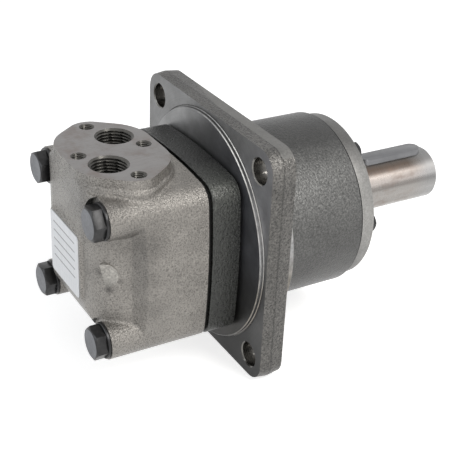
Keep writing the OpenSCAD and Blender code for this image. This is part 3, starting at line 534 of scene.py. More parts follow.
def cast_material(name, colour, grain, relief, rough, speck, metal=0.5, level=0.7,
        sweep=None, stains_and_painted_light=(), parting=None):
    """Sand-cast iron: crinkled, glinting grain with dark pits. sweep paints light and shade round the shaft
    axis, each stain is a soft darker or lighter patch, used as painted shade and painted highlights (centre
    in mm, reach in mm, tone), and parting is the y of a ragged parting line."""
    s = Shader(name)
    patches = s.noise(45.0, 3.0)
    broad = s.noise(grain * 0.4, 2.0)
    fine = s.noise(grain, 2.0, 0.6)
    pits = s.cells(grain * 1.2)
    base = s.mix(s.ramp(patches, (0.35, 0.0), (0.65, 1.0)), shade(colour, 0.88), shade(colour, 1.1))
    # Painted light and shade by the angle round the shaft axis
    if sweep:
        base = s.tint(base, s.sweep(*sweep))
    # Soft patches of painted shade; a tone above 1 paints light instead
    for centre, reach, tone in stains_and_painted_light:
        away = s.node("ShaderNodeVectorMath")
        away.operation = "DISTANCE"
        s.feed(away.inputs[0], s.coords)
        away.inputs[1].default_value = [v * MM for v in centre]
        near = s.math("DIVIDE", away.outputs["Value"], reach * MM)
        ragged = s.math("ADD", near, s.math("MULTIPLY", patches, 0.35))
        base = s.tint(base, s.ramp(ragged, (0.25, tone), (1.1, 1.0)))
    if parting:
        off = s.math("ABSOLUTE", s.math("SUBTRACT", s.parts()["Y"], parting * MM))
        ragged = s.math("DIVIDE", s.math("ADD", off, s.math("MULTIPLY", broad, 1.6 * MM)), 3.0 * MM)
        base = s.tint(base, s.ramp(ragged, (0.3, 0.45), (0.5, 1.0)))
    both = s.tint(base, s.ramp(fine, (0.25, 1.0 - speck), (0.5, 1.0), (0.75, 1.0 + speck * 1.4)))
    dark = s.ramp(pits, (0.04, 1.0), (0.2, 0.0))
    spotted = s.mix(s.math("MULTIPLY", dark, 0.16), both, shade(colour, 0.2))
    height = s.math("ADD", fine, s.math("MULTIPLY", s.ramp(pits, (0.0, 0.0), (0.35, 1.0)), 0.3))
    height = s.math("ADD", height, s.math("MULTIPLY", broad, 0.7))
    return s.done(Base_Color=spotted, Metallic=metal, Normal=s.bump(height, relief),
        Specular_IOR_Level=level, Roughness=s.ramp(fine, (0.3, rough[0]), (0.7, rough[1])))


def metal_material(name, colour, rough, scratch, relief, metal, spread, sweep=None):
    """Machined metal: fine lines along one way, faint stained patches. sweep paints light and shade round the
    shaft axis.
    """
    s = Shader(name)
    lines = s.noise(1.0, 3.0, 0.6, scratch)
    stains_and_painted_light = s.noise(70.0, 4.0, 0.65)
    fleck = s.ramp(lines, (0.3, 0.0), (0.7, 1.0))
    tone = s.mix(fleck, shade(colour, 1.0 - spread), shade(colour, 1.0 + spread))
    stained = s.mix(s.ramp(stains_and_painted_light, (0.4, 0.0), (0.75, 0.5)), tone, shade(colour, 0.7))
    if sweep:
        stained = s.tint(stained, s.sweep(*sweep))
    return s.done(Base_Color=stained, Metallic=metal, Normal=s.bump(lines, relief),
        Roughness=s.ramp(stains_and_painted_light, (0.3, rough * 0.85), (0.7, rough * 1.2)))


def turned_face_material(name):
    """Lathe-turned face of the flange: painted sheen and shade run round the axis in broad, soft sectors."""
    s = Shader(name)
    radius = s.radius()
    disc = s.sweep((-180, 0.08), (-90, 0.14), (-45, 0.25), (-18, 0.20), (4, (0.140, 0.140, 0.142)),
        (24, (0.130, 0.131, 0.138)), (50, (0.130, 0.133, 0.148)), (85, (0.115, 0.117, 0.128)),
        (105, (0.070, 0.070, 0.072)), (135, (0.034, 0.033, 0.030)), (180, 0.06))
    corner = s.sweep((-180, 0.05), (-90, 0.13), (-40, 0.18), (0, 0.14), (30, 0.26), (45, (0.33, 0.33, 0.345)),
        (68, (0.28, 0.28, 0.295)), (85, 0.17), (110, 0.10), (130, 0.028), (155, 0.016), (180, 0.05))
    tone = s.mix(s.math("GREATER_THAN", radius, REGISTER_R * MM), disc, corner)
    rings = s.node("ShaderNodeTexNoise", Scale=1.0, Detail=4.0, Roughness=0.7)
    s.feed(rings.inputs["Vector"], s.along(s.math("MULTIPLY", radius, 1400.0)))
    lines = rings.outputs["Fac"]
    cloud = s.noise(60.0, 4.0, 0.65)
    tone = s.tint(tone, s.ramp(lines, (0.3, 0.88), (0.7, 1.14)))
    tone = s.tint(tone, s.ramp(cloud, (0.32, 0.76), (0.7, 1.26)))
    return s.done(Base_Color=tone, Metallic=0.8, Normal=s.bump(lines, 0.006), Roughness=0.42)


def edge_material(name):
    """Bright turned edges of the register and the pilot, with a painted highlight on the upper right."""
    s = Shader(name)
    tone = s.sweep((-180, 0.16), (-60, 0.16), (-20, 0.16), (10, 0.30), (30, (0.58, 0.57, 0.54)),
        (62, (0.46, 0.45, 0.43)), (82, 0.30), (100, (0.20, 0.185, 0.165)), (120, (0.23, 0.21, 0.185)),
        (150, 0.15), (180, 0.16))
    fine = s.noise(260.0, 4.0, 0.7)
    return s.done(Base_Color=s.tint(tone, s.ramp(fine, (0.35, 0.7), (0.65, 1.25))), Metallic=0.9,
        Normal=s.bump(fine, 0.006), Roughness=0.32)


def shaft_material(name):
    """Ground shaft: painted bands of sheen and shade along it, brown stain from handling below the key, and a
    cleaner end.
    """
    s = Shader(name)
    # Painted bands of sheen and shade round the shaft, with brown tones below the key
    tone = s.sweep((-180, (0.34, 0.33, 0.32)), (-100, 0.30), (-60, (0.42, 0.41, 0.40)), (-20, 0.17),
        (14, (0.13, 0.125, 0.12)), (34, (0.135, 0.108, 0.09)), (42, (0.20, 0.165, 0.145)),
        (51, (0.56, 0.50, 0.46)), (66, (0.56, 0.51, 0.48)), (74, (0.27, 0.25, 0.235)),
        (79, (0.20, 0.185, 0.175)), (85, (0.29, 0.277, 0.264)), (98, (0.33, 0.315, 0.30)),
        (118, (0.27, 0.257, 0.244)), (150, (0.37, 0.355, 0.34)), (180, (0.34, 0.33, 0.32)))
    # The end's own painted bands of sheen, without the brown stain
    clean_end_sheen = s.sweep((-180, 0.34), (-20, 0.24), (34, 0.30), (48, 0.46), (66, 0.50), (74, 0.27), (79, 0.21),
        (98, 0.34), (118, 0.28), (180, 0.34))
    stains_and_painted_light = s.noise(1.0, 5.0, 0.7, (120.0, 55.0, 120.0))
    marks = s.noise(1.0, 3.0, 0.6, (60.0, 1900.0, 60.0))
    brown = s.mix(s.ramp(stains_and_painted_light, (0.5, 0.0), (0.7, 0.5)), tone, (0.18, 0.118, 0.088))
    span = 250.0
    end = s.math("DIVIDE", s.parts()["Y"], span * MM)
    free = s.ramp(end, ((SHAFT_Y - 20) / span, 0.0), ((SHAFT_Y - 6) / span, 0.85))
    fine = s.tint(s.mix(free, brown, clean_end_sheen), s.ramp(marks, (0.3, 0.93), (0.7, 1.07)))
    return s.done(Base_Color=fine, Metallic=1.0, Normal=s.bump(marks, 0.002),
        Roughness=s.ramp(stains_and_painted_light, (0.3, 0.22), (0.7, 0.34)))


def port_face_material(name, colour, stain):
    """The machined port face, with faint red-brown patches of rust."""
    s = Shader(name)
    lines = s.noise(1.0, 3.0, 0.6, (1500.0, 120.0, 400.0))
    patches = s.noise(85.0, 5.0, 0.7)
    tone = s.mix(s.ramp(lines, (0.3, 0.0), (0.7, 1.0)), shade(colour, 0.9), shade(colour, 1.08))
    rusty = s.mix(s.ramp(patches, (0.48, 0.0), (0.72, 0.65)), tone, stain)
    return s.done(Base_Color=rusty, Metallic=0.35, Normal=s.bump(lines, 0.015),
        Roughness=s.ramp(patches, (0.3, 0.38), (0.7, 0.55)))


def rubber_material(name):
    """Black seal rubber with a fine matt skin."""
    s = Shader(name)
    fine = s.noise(900.0, 3.0)
    return s.done(Base_Color=s.ramp(fine, (0.3, (0.014, 0.014, 0.015)), (0.7, (0.03, 0.03, 0.031))),
        Roughness=0.6, Normal=s.bump(fine, 0.01))


def label_material(name):
    """A blank name plate: satin metal with plain ruled lines."""
    s = Shader(name)
    place_on = s.parts()
    rows = s.math("FRACT", s.math("MULTIPLY", s.math("ADD", place_on["Z"], 0.2), 1 / (RULE_PITCH * MM)))
    line = s.math("LESS_THAN", rows, RULE_SHARE)
    inside = s.math("LESS_THAN", s.math("ABSOLUTE", place_on["X"]), RULED_HALF_X * MM)
    height = s.math("ABSOLUTE", s.math("SUBTRACT", place_on["Z"], RULED_Z * MM))
    high = s.math("LESS_THAN", height, RULED_HALF_Z * MM)
    ruled = s.math("MULTIPLY", line, s.math("MULTIPLY", inside, high))
    fine = s.noise(1.0, 3.0, 0.6, (2500.0, 400.0, 90.0))
    silver = s.ramp(fine, (0.3, (0.60, 0.61, 0.635)), (0.7, (0.72, 0.73, 0.74)))
    return s.done(Base_Color=s.mix(s.math("MULTIPLY", ruled, 0.75), silver, (0.12, 0.12, 0.13)),
        Metallic=0.3, Roughness=0.42, Normal=s.bump(fine, 0.008))


# Castings: colour, grain, relief, roughness from and to, speck, then metal and sheen where they differ
# Rear casting: its patches are painted shade, darker in the hollow between the lugs, under the pad's skirt,
# round the nub and over the rear face
CAST_WARM = cast_material("cast_rear", (0.215, 0.203, 0.187), 1250.0, 0.42, (0.22, 0.4), 0.44, stains_and_painted_light=(
    ((47, -61, 22), 20, 0.5), ((47, -59, 2), 16, 0.6), ((48, -57, -14), 14, 0.75), ((30, -84, 28), 18, 0.7),
    ((44, -74, 46), 12, 0.6), ((40, -74, -26), 13, 0.65), ((35.6, -74.6, -5.5), 4, 0.3),
    ((39.3, -69.6, 0), 3, 0.55), ((31.5, -78.4, 4), 4, 0.6), ((14, -86, 40), 26, 0.66), ((20, -58, 42),
    16, 0.7)))
# The nub's face: a lighter copy of the rear casting as a painted highlight, with painted shade at its bottom
CAST_NUB_LIT = cast_material("cast_nub_lit", (0.30, 0.288, 0.267), 980.0, 0.2, (0.3, 0.42), 0.4,
    stains_and_painted_light=(((36, -75, -4), 7, 0.4),))
# Flange casting: a patch of painted highlight on the upper right corner, and darker over the rear of the top
# side
CAST_FLANGE = cast_material("cast_flange", (0.080, 0.077, 0.072), 900.0, 0.5, (0.24, 0.4), 0.75,
    stains_and_painted_light=(((68, 6, 62), 15, 1.7), ((-45, 3, 70), 50, 0.55), ((10, 0, 70), 45, 0.62)), parting=PARTING_Y)
CAST_BAND = cast_material("cast_flange_band", (0.150, 0.148, 0.142), 900.0, 0.14, (0.45, 0.6), 0.24, 0.4, 0.5)
# Nose: its sweep paints shade on top and a highlight on the upper right
CAST_NOSE = cast_material("cast_nose", (0.142, 0.142, 0.138), 950.0, 0.36, (0.3, 0.46), 0.6, 0.5, 0.7,
    sweep=((-180, 0.5), (-40, 0.26), (0, 0.19), (22, 0.3), (42, 0.85), (60, 0.9), (85, 0.56), (106, 0.44),
    (125, 0.3), (180, 0.36)))
# Gear ring: its own dark colour, with painted shade on top and a painted highlight on the upper right corner
CAST_RING = cast_material("cast_ring", (0.031, 0.033, 0.029), 950.0, 0.42, (0.22, 0.4), 0.7, 0.3, 0.8,
    sweep=((-180, 0.7), (-60, 0.22), (20, 0.22), (44, 1.6), (66, 0.75), (180, 0.7)))
# Near-black painted shade for the recessed seams between the parts
SEAM_SHADE = cast_material("seam", (0.011, 0.011, 0.011), 800.0, 0.05, (0.6, 0.8), 0.2, 0.0, 0.1)

# Machined metals: colour, roughness, scratches to the metre, relief, metal, spread of tone
MACHINED = turned_face_material("machined_flange")
BRIGHT_EDGE = edge_material("bright_edge")
PORT_FACE = port_face_material("machined_ports", (0.232, 0.223, 0.220), (0.165, 0.128, 0.112))
# Its sweep paints a highlight on the upper right of the register's wall
REGISTER_WALL = metal_material("register_wall", (0.16, 0.16, 0.16), 0.36, (300.0, 1200.0, 300.0), 0.03,
    0.85, 0.35,
    sweep=((-180, 1.0), (40, 0.9), (58, 1.9), (74, 2.3), (92, 1.3), (110, 0.9), (180, 1.0)))
BORE = metal_material("flange_bore", (0.17, 0.165, 0.155), 0.2, (200.0, 1500.0, 200.0), 0.01, 0.95, 0.25)
THREAD = metal_material("thread", (0.095, 0.092, 0.085), 0.26, (300.0, 300.0, 300.0), 0.004, 0.9, 0.25)
# Its sweep paints shade on top and a sheen on the right side
COVER_STEEL = metal_material("cover_steel", (0.315, 0.31, 0.30), 0.42, (900.0, 900.0, 900.0), 0.03, 0.6, 0.2,
    sweep=((-180, 0.8), (-60, 0.42), (25, 0.42), (50, 0.9), (75, 1.0), (98, 0.9), (125, 0.55), (180, 0.6)))
SHAFT_STEEL = shaft_material("shaft_steel")
KEY_STEEL = metal_material("key_steel", (0.185, 0.187, 0.195), 0.36, (900.0, 40.0, 900.0), 0.004, 0.7, 0.08)
OXIDE = metal_material("black_oxide", (0.030, 0.030, 0.031), 0.34, (500.0, 500.0, 500.0), 0.012, 0.6, 0.3)
OXIDE_FACE = metal_material("bolt_face", (0.115, 0.120, 0.132), 0.40, (700.0, 700.0, 700.0), 0.016, 0.7, 0.25)
INNER_STEEL = metal_material("inner_steel", (0.50, 0.50, 0.51), 0.28, (400.0, 400.0, 400.0), 0.004, 0.9, 0.07)
BRONZE = metal_material("bronze", (0.50, 0.36, 0.20), 0.34, (400.0, 400.0, 400.0), 0.004, 0.9, 0.1)
RUBBER = rubber_material("rubber")
LABEL = label_material("label")


SLOT_MATERIAL = {
    "flange_casting": CAST_FLANGE, "rear_casting": CAST_WARM, "ring_casting": CAST_RING,
    "cover_steel": COVER_STEEL, "black_oxide": OXIDE, "shaft_steel": SHAFT_STEEL, "key_steel": KEY_STEEL,
    "inner_steel": INNER_STEEL, "cage_bronze": BRONZE, "seal_rubber": RUBBER, "plate_aluminium": LABEL,
}


def paint_cad_nodes():
    """Gives each CAD node the material of its slot."""
    for part in frame["record"]["subparts"]:
        mesh = frame["nodes"][part["node"]].data
        material = SLOT_MATERIAL[part["material_slot"]]
        if not mesh.materials:
            mesh.materials.append(material)
        for k in range(len(mesh.materials)):
            mesh.materials[k] = material


def four_places(half):
    return [(sx * half, sz * half) for sx in (-1, 1) for sz in (-1, 1)]


def ring_places(r, count):
    angles = [2 * math.pi * k / count for k in range(count)]
    return [(r * math.cos(a), r * math.sin(a)) for a in angles]


BOLT_PLACES = four_places(BOLT_HALF)
HOLE_PLACES = four_places(HOLE_HALF)
SCREW_PLACES = ring_places(SCREW_RING_R, SCREW_N)


def apart(u, v, at):
    """Distances of many points from one place."""
    return np.hypot(u - at[0], v - at[1])


def tap(at, bottom, top, axis):
    return threaded_rod("tap", at, bottom, top, TAP_CORE_R, TAP_MAJOR_R, TAP_PITCH, axis, 48)


def slab(name, half, y0, y1):
    """A wide block, to cut a flat face with."""
    return prism(name, round_rect(half, half, 1), y0, y1)


def mouth(inner, outer, face, depth, steps, centre=(0.0, 0.0), axis="y"):
    """Cuts the countersink of a hole in a face."""
    top = face + PAST
    profile = [(0, face - depth), (inner, face - depth), (outer, face), (outer, top), (0, top)]
    return turned("mouth", profile, steps, centre, axis)


def hollow_side():
    """Half of the plan between the lugs, from the rear face's middle to the front."""
    flat = REAR_HALF - REAR_R
    run_y = HOLLOW_Y - HOLLOW_RUN
    turn = math.degrees(math.asin((REAR_Y + REAR_R - run_y) / REAR_R))
    curve = [(x, REAR_Y + REAR_R - y) for x, y in arc(flat, 0, REAR_R, 90, turn, 20)]
    return curve + [(BODY_HALF + PAST, HOLLOW_Y), (BODY_HALF + PAST, BLANK_Y + PAST)]


def pad_points(grow=0.0):
    """Outline of the port pad: large and small arcs with their common tangents."""
    small_x = PAD_HALF_X - PAD_END_R
    turn = math.degrees(math.acos((PAD_HALF_Y - PAD_END_R) / (small_x - PAD_ARC_X)))
    large = arc(PAD_ARC_X, PAD_Y, PAD_HALF_Y + grow, turn, 90, 24)
    right = arc(small_x, PAD_Y, PAD_END_R + grow, -turn, turn, 12) + large
    left = [(-x, y) for x, y in reversed(right)]
    below = [(x, 2 * PAD_Y - y) for x, y in reversed(large)]
    return right + left + [(-x, y) for x, y in reversed(below)] + below


def build_nub():
    """A half-round boss on the rear right edge, highest along its straight side, which leans back."""
    out = np.array((math.cos(NUB_TURN), -math.sin(NUB_TURN)))
    side = np.array((math.sin(NUB_TURN), math.cos(NUB_TURN)))
    face = np.array((math.cos(NUB_FACE), -math.sin(NUB_FACE)))
    top = (REAR_R + NUB_PROUD) * (face @ out)
    sections = [[], []]
    for u, w in arc(0, 0, NUB_R, *NUB_ARC, 28):
        for section, reach in zip(sections, (REAR_R / 2, (top - u * (face @ side)) / (face @ out))):
            x, y = reach * out + u * side
            section.append((REAR_HALF - REAR_R + x, REAR_Y + REAR_R + y, NUB_Z + w))
    return loft("nub", sections)


def valve_housing_blank():
    """The casting: a body with hollow sides, lugs round the bolts, the port pad and the plate's pad."""
    half = hollow_side()
    plan = half + [(-x, y) for x, y in reversed(half)]
    body = prism("valve_housing_cast", body_points(), REAR_Y, BLANK_Y)
    combine(body, prism("plan", plan, -WIDE, WIDE, "z"), "INTERSECT")
    side = [(y, -x) for x, y in half] + [(BLANK_Y + PAST, PAD_Z + PAST), (REAR_Y, PAD_Z + PAST)]
    combine(body, prism("side", side, -WIDE, WIDE, "x"), "INTERSECT")
    lugs = [rod("lug", WALL_R, SEAT_Y - 3, HOLLOW_Y + 2, at, "y", 64) for at in BOLT_PLACES]
    pad = prism("pad", pad_points(), 0, PAD_Z + 3, "z")
    skirt = prism("skirt", pad_points(SKIRT_GROW), 0, SKIRT_Z, "z")
    ahead = [(-60, REAR_Y), (60, REAR_Y), (60, 0), (-60, 0)]
    combine(skirt, prism("skirt_limit", ahead, -1, 60, "z"), "INTERSECT")
    width, height, proud = PLATE_PAD
    outline = [(x, z + PLATE_Z) for x, z in round_rect(width / 2, height / 2, 3)]
    plate = prism("plate_pad", outline, REAR_Y - proud, REAR_Y + 4)
    nub = build_nub()
    join_all(body, lugs + [pad, skirt, plate])
    remesh(body, 0.6, 9)
    combine(body, nub, "UNION")
    return body


def check_cuts():
    """Bores of the two check valves: plug, guide, cone seat and hole."""
    cuts = []
    low, high = CHECK_GUIDE_Z
    seat = CHECK_SEAT_Z - CHECK_BALL_SEAT_R + CHECK_HOLE_R
    guide = [(0, low), (CHECK_BALL_SEAT_R, low), (CHECK_BALL_SEAT_R, seat), (CHECK_HOLE_R, CHECK_SEAT_Z),
        (CHECK_HOLE_R, high), (0, high)]
    for side in (-1, 1):
        at = (side * PORTS[0][0], CHECK_Y)
        cuts.append(rod("check_bore", CHECK_PLUG_R + FIT, *CHECK_PLUG_Z, at, "z", 48))
        cuts.append(turned("check_guide", guide, 32, at, "z"))
    return cuts


def port_cuts():
    """Threaded ports with their channels, and the four threaded holes beside them."""
    cuts = []
    top = PAD_Z + PAST
    floor = PAD_Z - PORT_DEPTH
    for at, channel in zip(PORTS, CHANNEL_DEPTHS):
        cuts.append(threaded_rod("port", at, floor, top, PORT_CORE_R, PORT_MAJOR_R, PORT_PITCH, "z", 96))
        cuts.append(mouth(PORT_MAJOR_R - 0.9, PORT_MAJOR_R + 0.25, PAD_Z, 1.1, 96, at, "z"))
        cuts.append(rod("channel", CHANNEL_R, floor - channel, floor + PAST, at, "z", 48))
    for at in TAPS:
        cuts.append(tap(at, PAD_Z - TAP_DEPTH, top, "z"))
        cuts.append(mouth(TAP_CORE_R, TAP_MAJOR_R + 0.25, PAD_Z, 0.8, 48, at, "z"))
    return cuts


def build_valve_housing():
    body = valve_housing_blank()
    square = [(-120, -120), (120, -120), (120, 120), (-120, 120)]
    cuts = [slab("front_cut", 120, FRONT_Y, FRONT_Y + 20), prism("top_cut", square, PAD_Z, PAD_Z + 20, "z")]
    cuts += [rod("spot", SPOT_R, REAR_Y - 20, SEAT_Y, at) for at in BOLT_PLACES]
    cut_all(body, cuts)
    combine(body, prism("lip", body_points(SEAM_INSET), FRONT_Y - 2, RING_REAR_Y), "UNION")
    cuts = [rod("cavity", r, y1, y0) for r, y0, y1 in CAVITY]
    cuts += [rod("bolt_hole", BOLT_HOLE_R, REAR_Y - 20, RING_REAR_Y + PAST, at) for at in BOLT_PLACES]
    cuts += port_cuts() + check_cuts()
    drain = (DRAIN_Y, 0.0)
    cuts.append(rod("drain_hole", DRAIN_R + FIT, -WIDE, DRAIN_END_X, drain, "x", 64))
    cuts.append(rod("drain_seat", DRAIN_SEAT_R, -WIDE, DRAIN_SEAT_DEPTH - BODY_HALF, drain, "x", 64))
    cut_all(body, cuts)
    skin, face, thread, seam, spot, boss = range(6)

    def rule(centre, normal):
        x, y, z = centre.T
        index = np.full(len(centre), skin)
        index[(z > PAD_Z - 0.05) & (normal[:, 2] > 0.9)] = face
        for places, r, deep in ((PORTS, PORT_MAJOR_R, 35), (TAPS, TAP_MAJOR_R, 40)):
            for at in places:
                index[(apart(x, y, at) < r + 0.4) & (z > deep) & (z < PAD_Z - 0.02)] = thread
        # The recessed lip at the front is painted near black, as the shade in the seam
        index[y > FRONT_Y - 0.02] = seam
        # The spot faces' walls take the dark ring casting, as painted shade round the bolt heads
        for at in BOLT_PLACES:
            wall = np.abs(apart(x, z, at) - SPOT_R) < 0.06
            index[wall & (y < SEAT_Y) & (np.abs(normal[:, 1]) < 0.1)] = spot
        # The nub's face takes the lighter copy of the casting, a painted highlight
        round_x, round_y = x - REAR_HALF + REAR_R, y - REAR_Y - REAR_R
        on_boss = (np.hypot(round_x, round_y) > REAR_R + 0.15) & (round_x > 8) & (round_y < -8)
        index[on_boss & (np.abs(z - NUB_Z) < NUB_R)] = boss
        return index

    complete(body, [CAST_WARM, PORT_FACE, THREAD, SEAM_SHADE, CAST_RING, CAST_NUB_LIT],
        "housing", "valve_housing", rule)


def build_ring():
    edge = 0.5
    sections = []
    rear, front = RING_REAR_Y, RING_FRONT_Y
    for y, inset in ((rear, edge), (rear + edge, 0), (front - edge, 0), (front, edge)):
        sections.append([(x, y, z) for x, z in body_points(inset, 24, 12)])
    ring = loft("gerolor_ring_cast", sections)
    span = (rear - PAST, front + PAST)
    cuts = [rod("bore", RING_BORE_R, *span)]
    for at in ring_places(ROLLER_RING_R, ROLLER_N):
        cuts.append(rod("pocket", ROLLER_R + FIT, *span, at, "y", 64))
    cuts += [rod("bolt_hole", BOLT_HOLE_R, *span, at, "y", 48) for at in BOLT_PLACES]
    cuts.append(rod("pin_hole", PIN_R + FIT, *span, PIN_AT, "y", 24))
    cut_all(ring, cuts)
    complete(ring, [CAST_RING], "housing", "gerolor_ring", angle=24)


def front_housing_blank():
    """The cast flange: drafted sides that meet at the parting line, with flat faces."""
    sections = []
    for y, inset in ((-3, DRAFT), (0, DRAFT), (PARTING_Y - 0.3, 0.05), (PARTING_Y, 0),
            (PARTING_Y + 0.3, 0.05), (FLANGE_T, DRAFT), (FLANGE_T + 3, DRAFT)):
        side = FLANGE_HALF - inset
        sections.append([(x, y, z) for x, z in round_rect(side, side, FLANGE_R, 12)])
    body = loft("front_housing_cast", sections)
    remesh(body, 0.8, 3)
    cut_all(body, [slab("rear_cut", 200, -30, 0), slab("front_cut", 200, FLANGE_T, FLANGE_T + 30)])
    return body


def front_housing_cuts():
    """The groove round the register, the inside, the flange holes and the threaded holes."""
    foot = REGISTER_R + REGISTER_FOOT
    groove = [(foot, -0.4), (foot + 0.6, -0.4), (foot + 0.6, 0.4), (foot, 0.4)]
    wear, bore, end = WEAR_SEAT_R + FIT, NOSE_BORE_R + FIT, NOSE_Y + PAST
    inside = [(0, -5), (wear, -5), (wear, WEAR_SEAT_Y), (WEB_R, WEAR_SEAT_Y), (WEB_R, WEB_Y), (bore, WEB_Y),
        (bore, end), (0, end)]
    cuts = [turned("groove", groove, 192), turned("inside", inside, 128)]
    flare = HOLE_R + 1.6
    hole = [(0, -PAST), (flare, -PAST), (HOLE_R, 0.6), (HOLE_R, FLANGE_T - 0.6), (flare, FLANGE_T + PAST),
        (0, FLANGE_T + PAST)]
    cuts += [turned("hole", hole, 96, at) for at in HOLE_PLACES]
    for at in BOLT_PLACES:
        cuts.append(rod("bolt_tap", BOLT_R + FIT, RING_FRONT_Y - PAST, BOLT_TAP_Y, at, "y", 48))
    for at in SCREW_PLACES:
        cuts.append(rod("screw_tap", SCREW_R + FIT, COVER_Y - SCREW_TAP_DEPTH, end, at, "y", 48))
    return cuts


def build_front_housing():
    body = front_housing_blank()
    profile = [(0, 1), (PILOT_R, 1), (PILOT_R, PILOT_Y - 0.8), (PILOT_R - 0.8, PILOT_Y)]
    profile += arc(NOSE_R + FILLET_R, PILOT_Y + FILLET_R, FILLET_R, 270, 180, 12)
    profile += [(NOSE_R, NOSE_Y - 1.3), (NOSE_R - 0.4, NOSE_Y - 0.5), (NOSE_R - 1.6, NOSE_Y), (0, NOSE_Y)]
    foot = REGISTER_R + REGISTER_FOOT
    register = [(0, 1), (foot, 1), (foot, 0), (REGISTER_R, -0.4), (REGISTER_R, -REGISTER_H + 0.45),
        (REGISTER_R - 0.45, -REGISTER_H), (0, -REGISTER_H)]
    lip = prism("lip", body_points(SEAM_INSET), RING_FRONT_Y, 0.5 - REGISTER_H)
    join_all(body, [turned("nose", profile, 192), turned("register", register, 192), lip])
    cut_all(body, front_housing_cuts())
    skin, nose, machined, seam, bright, band, bore, wall = range(8)

    def rule(centre, normal):
        x, y, z = centre.T
        radius = np.hypot(x, z)
        facing = np.abs(normal[:, 1])
        flat = facing > 0.9
        index = np.full(len(centre), skin)
        band_from = FLANGE_T - 7.5 * np.clip((x + 42) / 42, 0, 1)
        index[(y > band_from) & (y < FLANGE_T) & (normal[:, 2] > 0.7) & (z > 60)] = band
        index[y > PILOT_Y + 0.05] = nose
        # The nose's end chamfer is painted near black, as the shadow where the cover meets it
        index[(y > NOSE_Y - 1.2) & (radius > NOSE_R - 2) & (radius < NOSE_R - 0.02)] = seam
        index[flat & (y < 0.3)] = machined
        index[(y > FLANGE_T - 0.05) & (y < PILOT_Y + 0.05) & (radius < PILOT_R + 0.1)] = bright
        index[(y < 0.2) & (radius < REGISTER_R + 0.1)] = machined
        edge = (y < 0.45) & (np.abs(radius - REGISTER_R - 0.3) < 1.2) & ~flat
        index[edge] = wall
        index[edge & (facing > 0.3)] = bright
        for at in HOLE_PLACES:
            near = apart(x, z, at) < HOLE_R + 0.8
            index[near & (y > -0.1) & (y < FLANGE_T + 0.1) & ~flat] = bore
        # The lip behind the register is painted near black, as the shade in the seam
        index[(y < 0.02 - REGISTER_H) & ~(flat & (y > -REGISTER_H - 0.02))] = seam
        return index

    complete(body, [CAST_FLANGE, CAST_NOSE, MACHINED, SEAM_SHADE, BRIGHT_EDGE, CAST_BAND, BORE, REGISTER_WALL],
        "housing", "front_housing", rule)


def build_cover():
    bore, lip, rim, face = COVER_BORE_R, COVER_LIP_R, COVER_R, COVER_Y
    seal_r, dust_r, dust_y = SHAFT_SEAL_R + FIT, DUST_SEAL_R + FIT, COVER_Y - DUST_SEAL_DEPTH
    seal_y, lip_y = SHAFT_SEAL_Y
    profile = [(bore, SPIGOT_Y), (NOSE_BORE_R, SPIGOT_Y), (NOSE_BORE_R, NOSE_Y), (rim - 0.4, NOSE_Y),
        (rim, NOSE_Y + 0.4), (rim, face - 0.7), (rim - 0.25, face - 0.25), (rim - 0.7, face),
        (DUST_SEAL_R + 0.4, face), (dust_r, face - 0.4), (dust_r, dust_y), (lip, dust_y), (lip, lip_y),
        (seal_r, lip_y), (seal_r, seal_y), (bore, seal_y)]
    cover = turned("front_cover_disc", profile, 192)
    span = (NOSE_Y - PAST, COVER_Y + PAST)
    cut_all(cover, [rod("screw_hole", SCREW_HOLE_R, *span, at, "y", 48) for at in SCREW_PLACES])
    complete(cover, [COVER_STEEL], "housing", "front_cover")


def hex_points(flats, turn, at):
    r = flats / 2 / math.cos(math.pi / 6)
    angles = [math.radians(turn + 60 * k) for k in range(6)]
    return [(r * math.cos(a) + at[0], r * math.sin(a) + at[1]) for a in angles]


def soften_edges(obj, width):
    """Rounds the edges of a head, by width in millimetres."""
    bevel = obj.modifiers.new("bevel", "BEVEL")
    bevel.width = width * MM
    bevel.segments = 2
    bevel.limit_method = "ANGLE"
    bevel.angle_limit = math.radians(35)
    apply_modifiers(obj)


def bolt(name, at, flats, seat, height, shank_r, shank_end, turn):
    """A hex bolt whose head stands on the plane y = seat and points away from shank_end."""
    way = 1 if seat > shank_end else -1
    top = seat + way * height
    half = flats / 2
    head = prism(name, hex_points(flats, turn, at), seat, top)
    cone = [(0, seat - way), (half * 1.25, seat - way), (half * 1.25, top - way * half * 0.17),
        (half * 0.93, top), (0, top + way * 0.001)]
    combine(head, turned("cone", cone, 64, at), "INTERSECT")
    soften_edges(head, 0.22)
    tip = shank_end + way * shank_r * 0.2
    root = seat + way * 0.3
    shank = [(0, shank_end), (shank_r * 0.8, shank_end), (shank_r, tip), (shank_r, root), (0, root)]
    combine(head, turned("shank", shank, 48, at), "UNION")
    return head


def join_objects(name, parts):
    """Joins separate solids into one object without changing them."""
    verts, faces, start = [], [], 0
    for part in parts:
        verts += [v.co / MM for v in part.data.vertices]
        faces += [tuple(i + start for i in p.vertices) for p in part.data.polygons]
        start = len(verts)
        mesh = part.data
        bpy.data.objects.remove(part)
        bpy.data.meshes.remove(mesh)
    return make_object(name, verts, faces)


def build_bolts():
    """Four through bolts, each head turned its own way, with a lighter outer face."""
    seat, top = WASHER_LOW.y, BOLT_LOW.y
    parts = []
    for k, at in enumerate(BOLT_PLACES):
        parts.append(bolt("head", at, BOLT_FLATS, seat, seat - top, BOLT_R, BOLT_HIGH.y, 8 + 20 * k))
    bolts = join_objects("through_bolts_hex", parts)

    def rule(centre, normal):
        return np.where((normal[:, 1] < -0.9) & (centre[:, 1] < top + 0.6), 1, 0)

    complete(bolts, [OXIDE, OXIDE_FACE], "housing", "through_bolts", rule, angle=28)


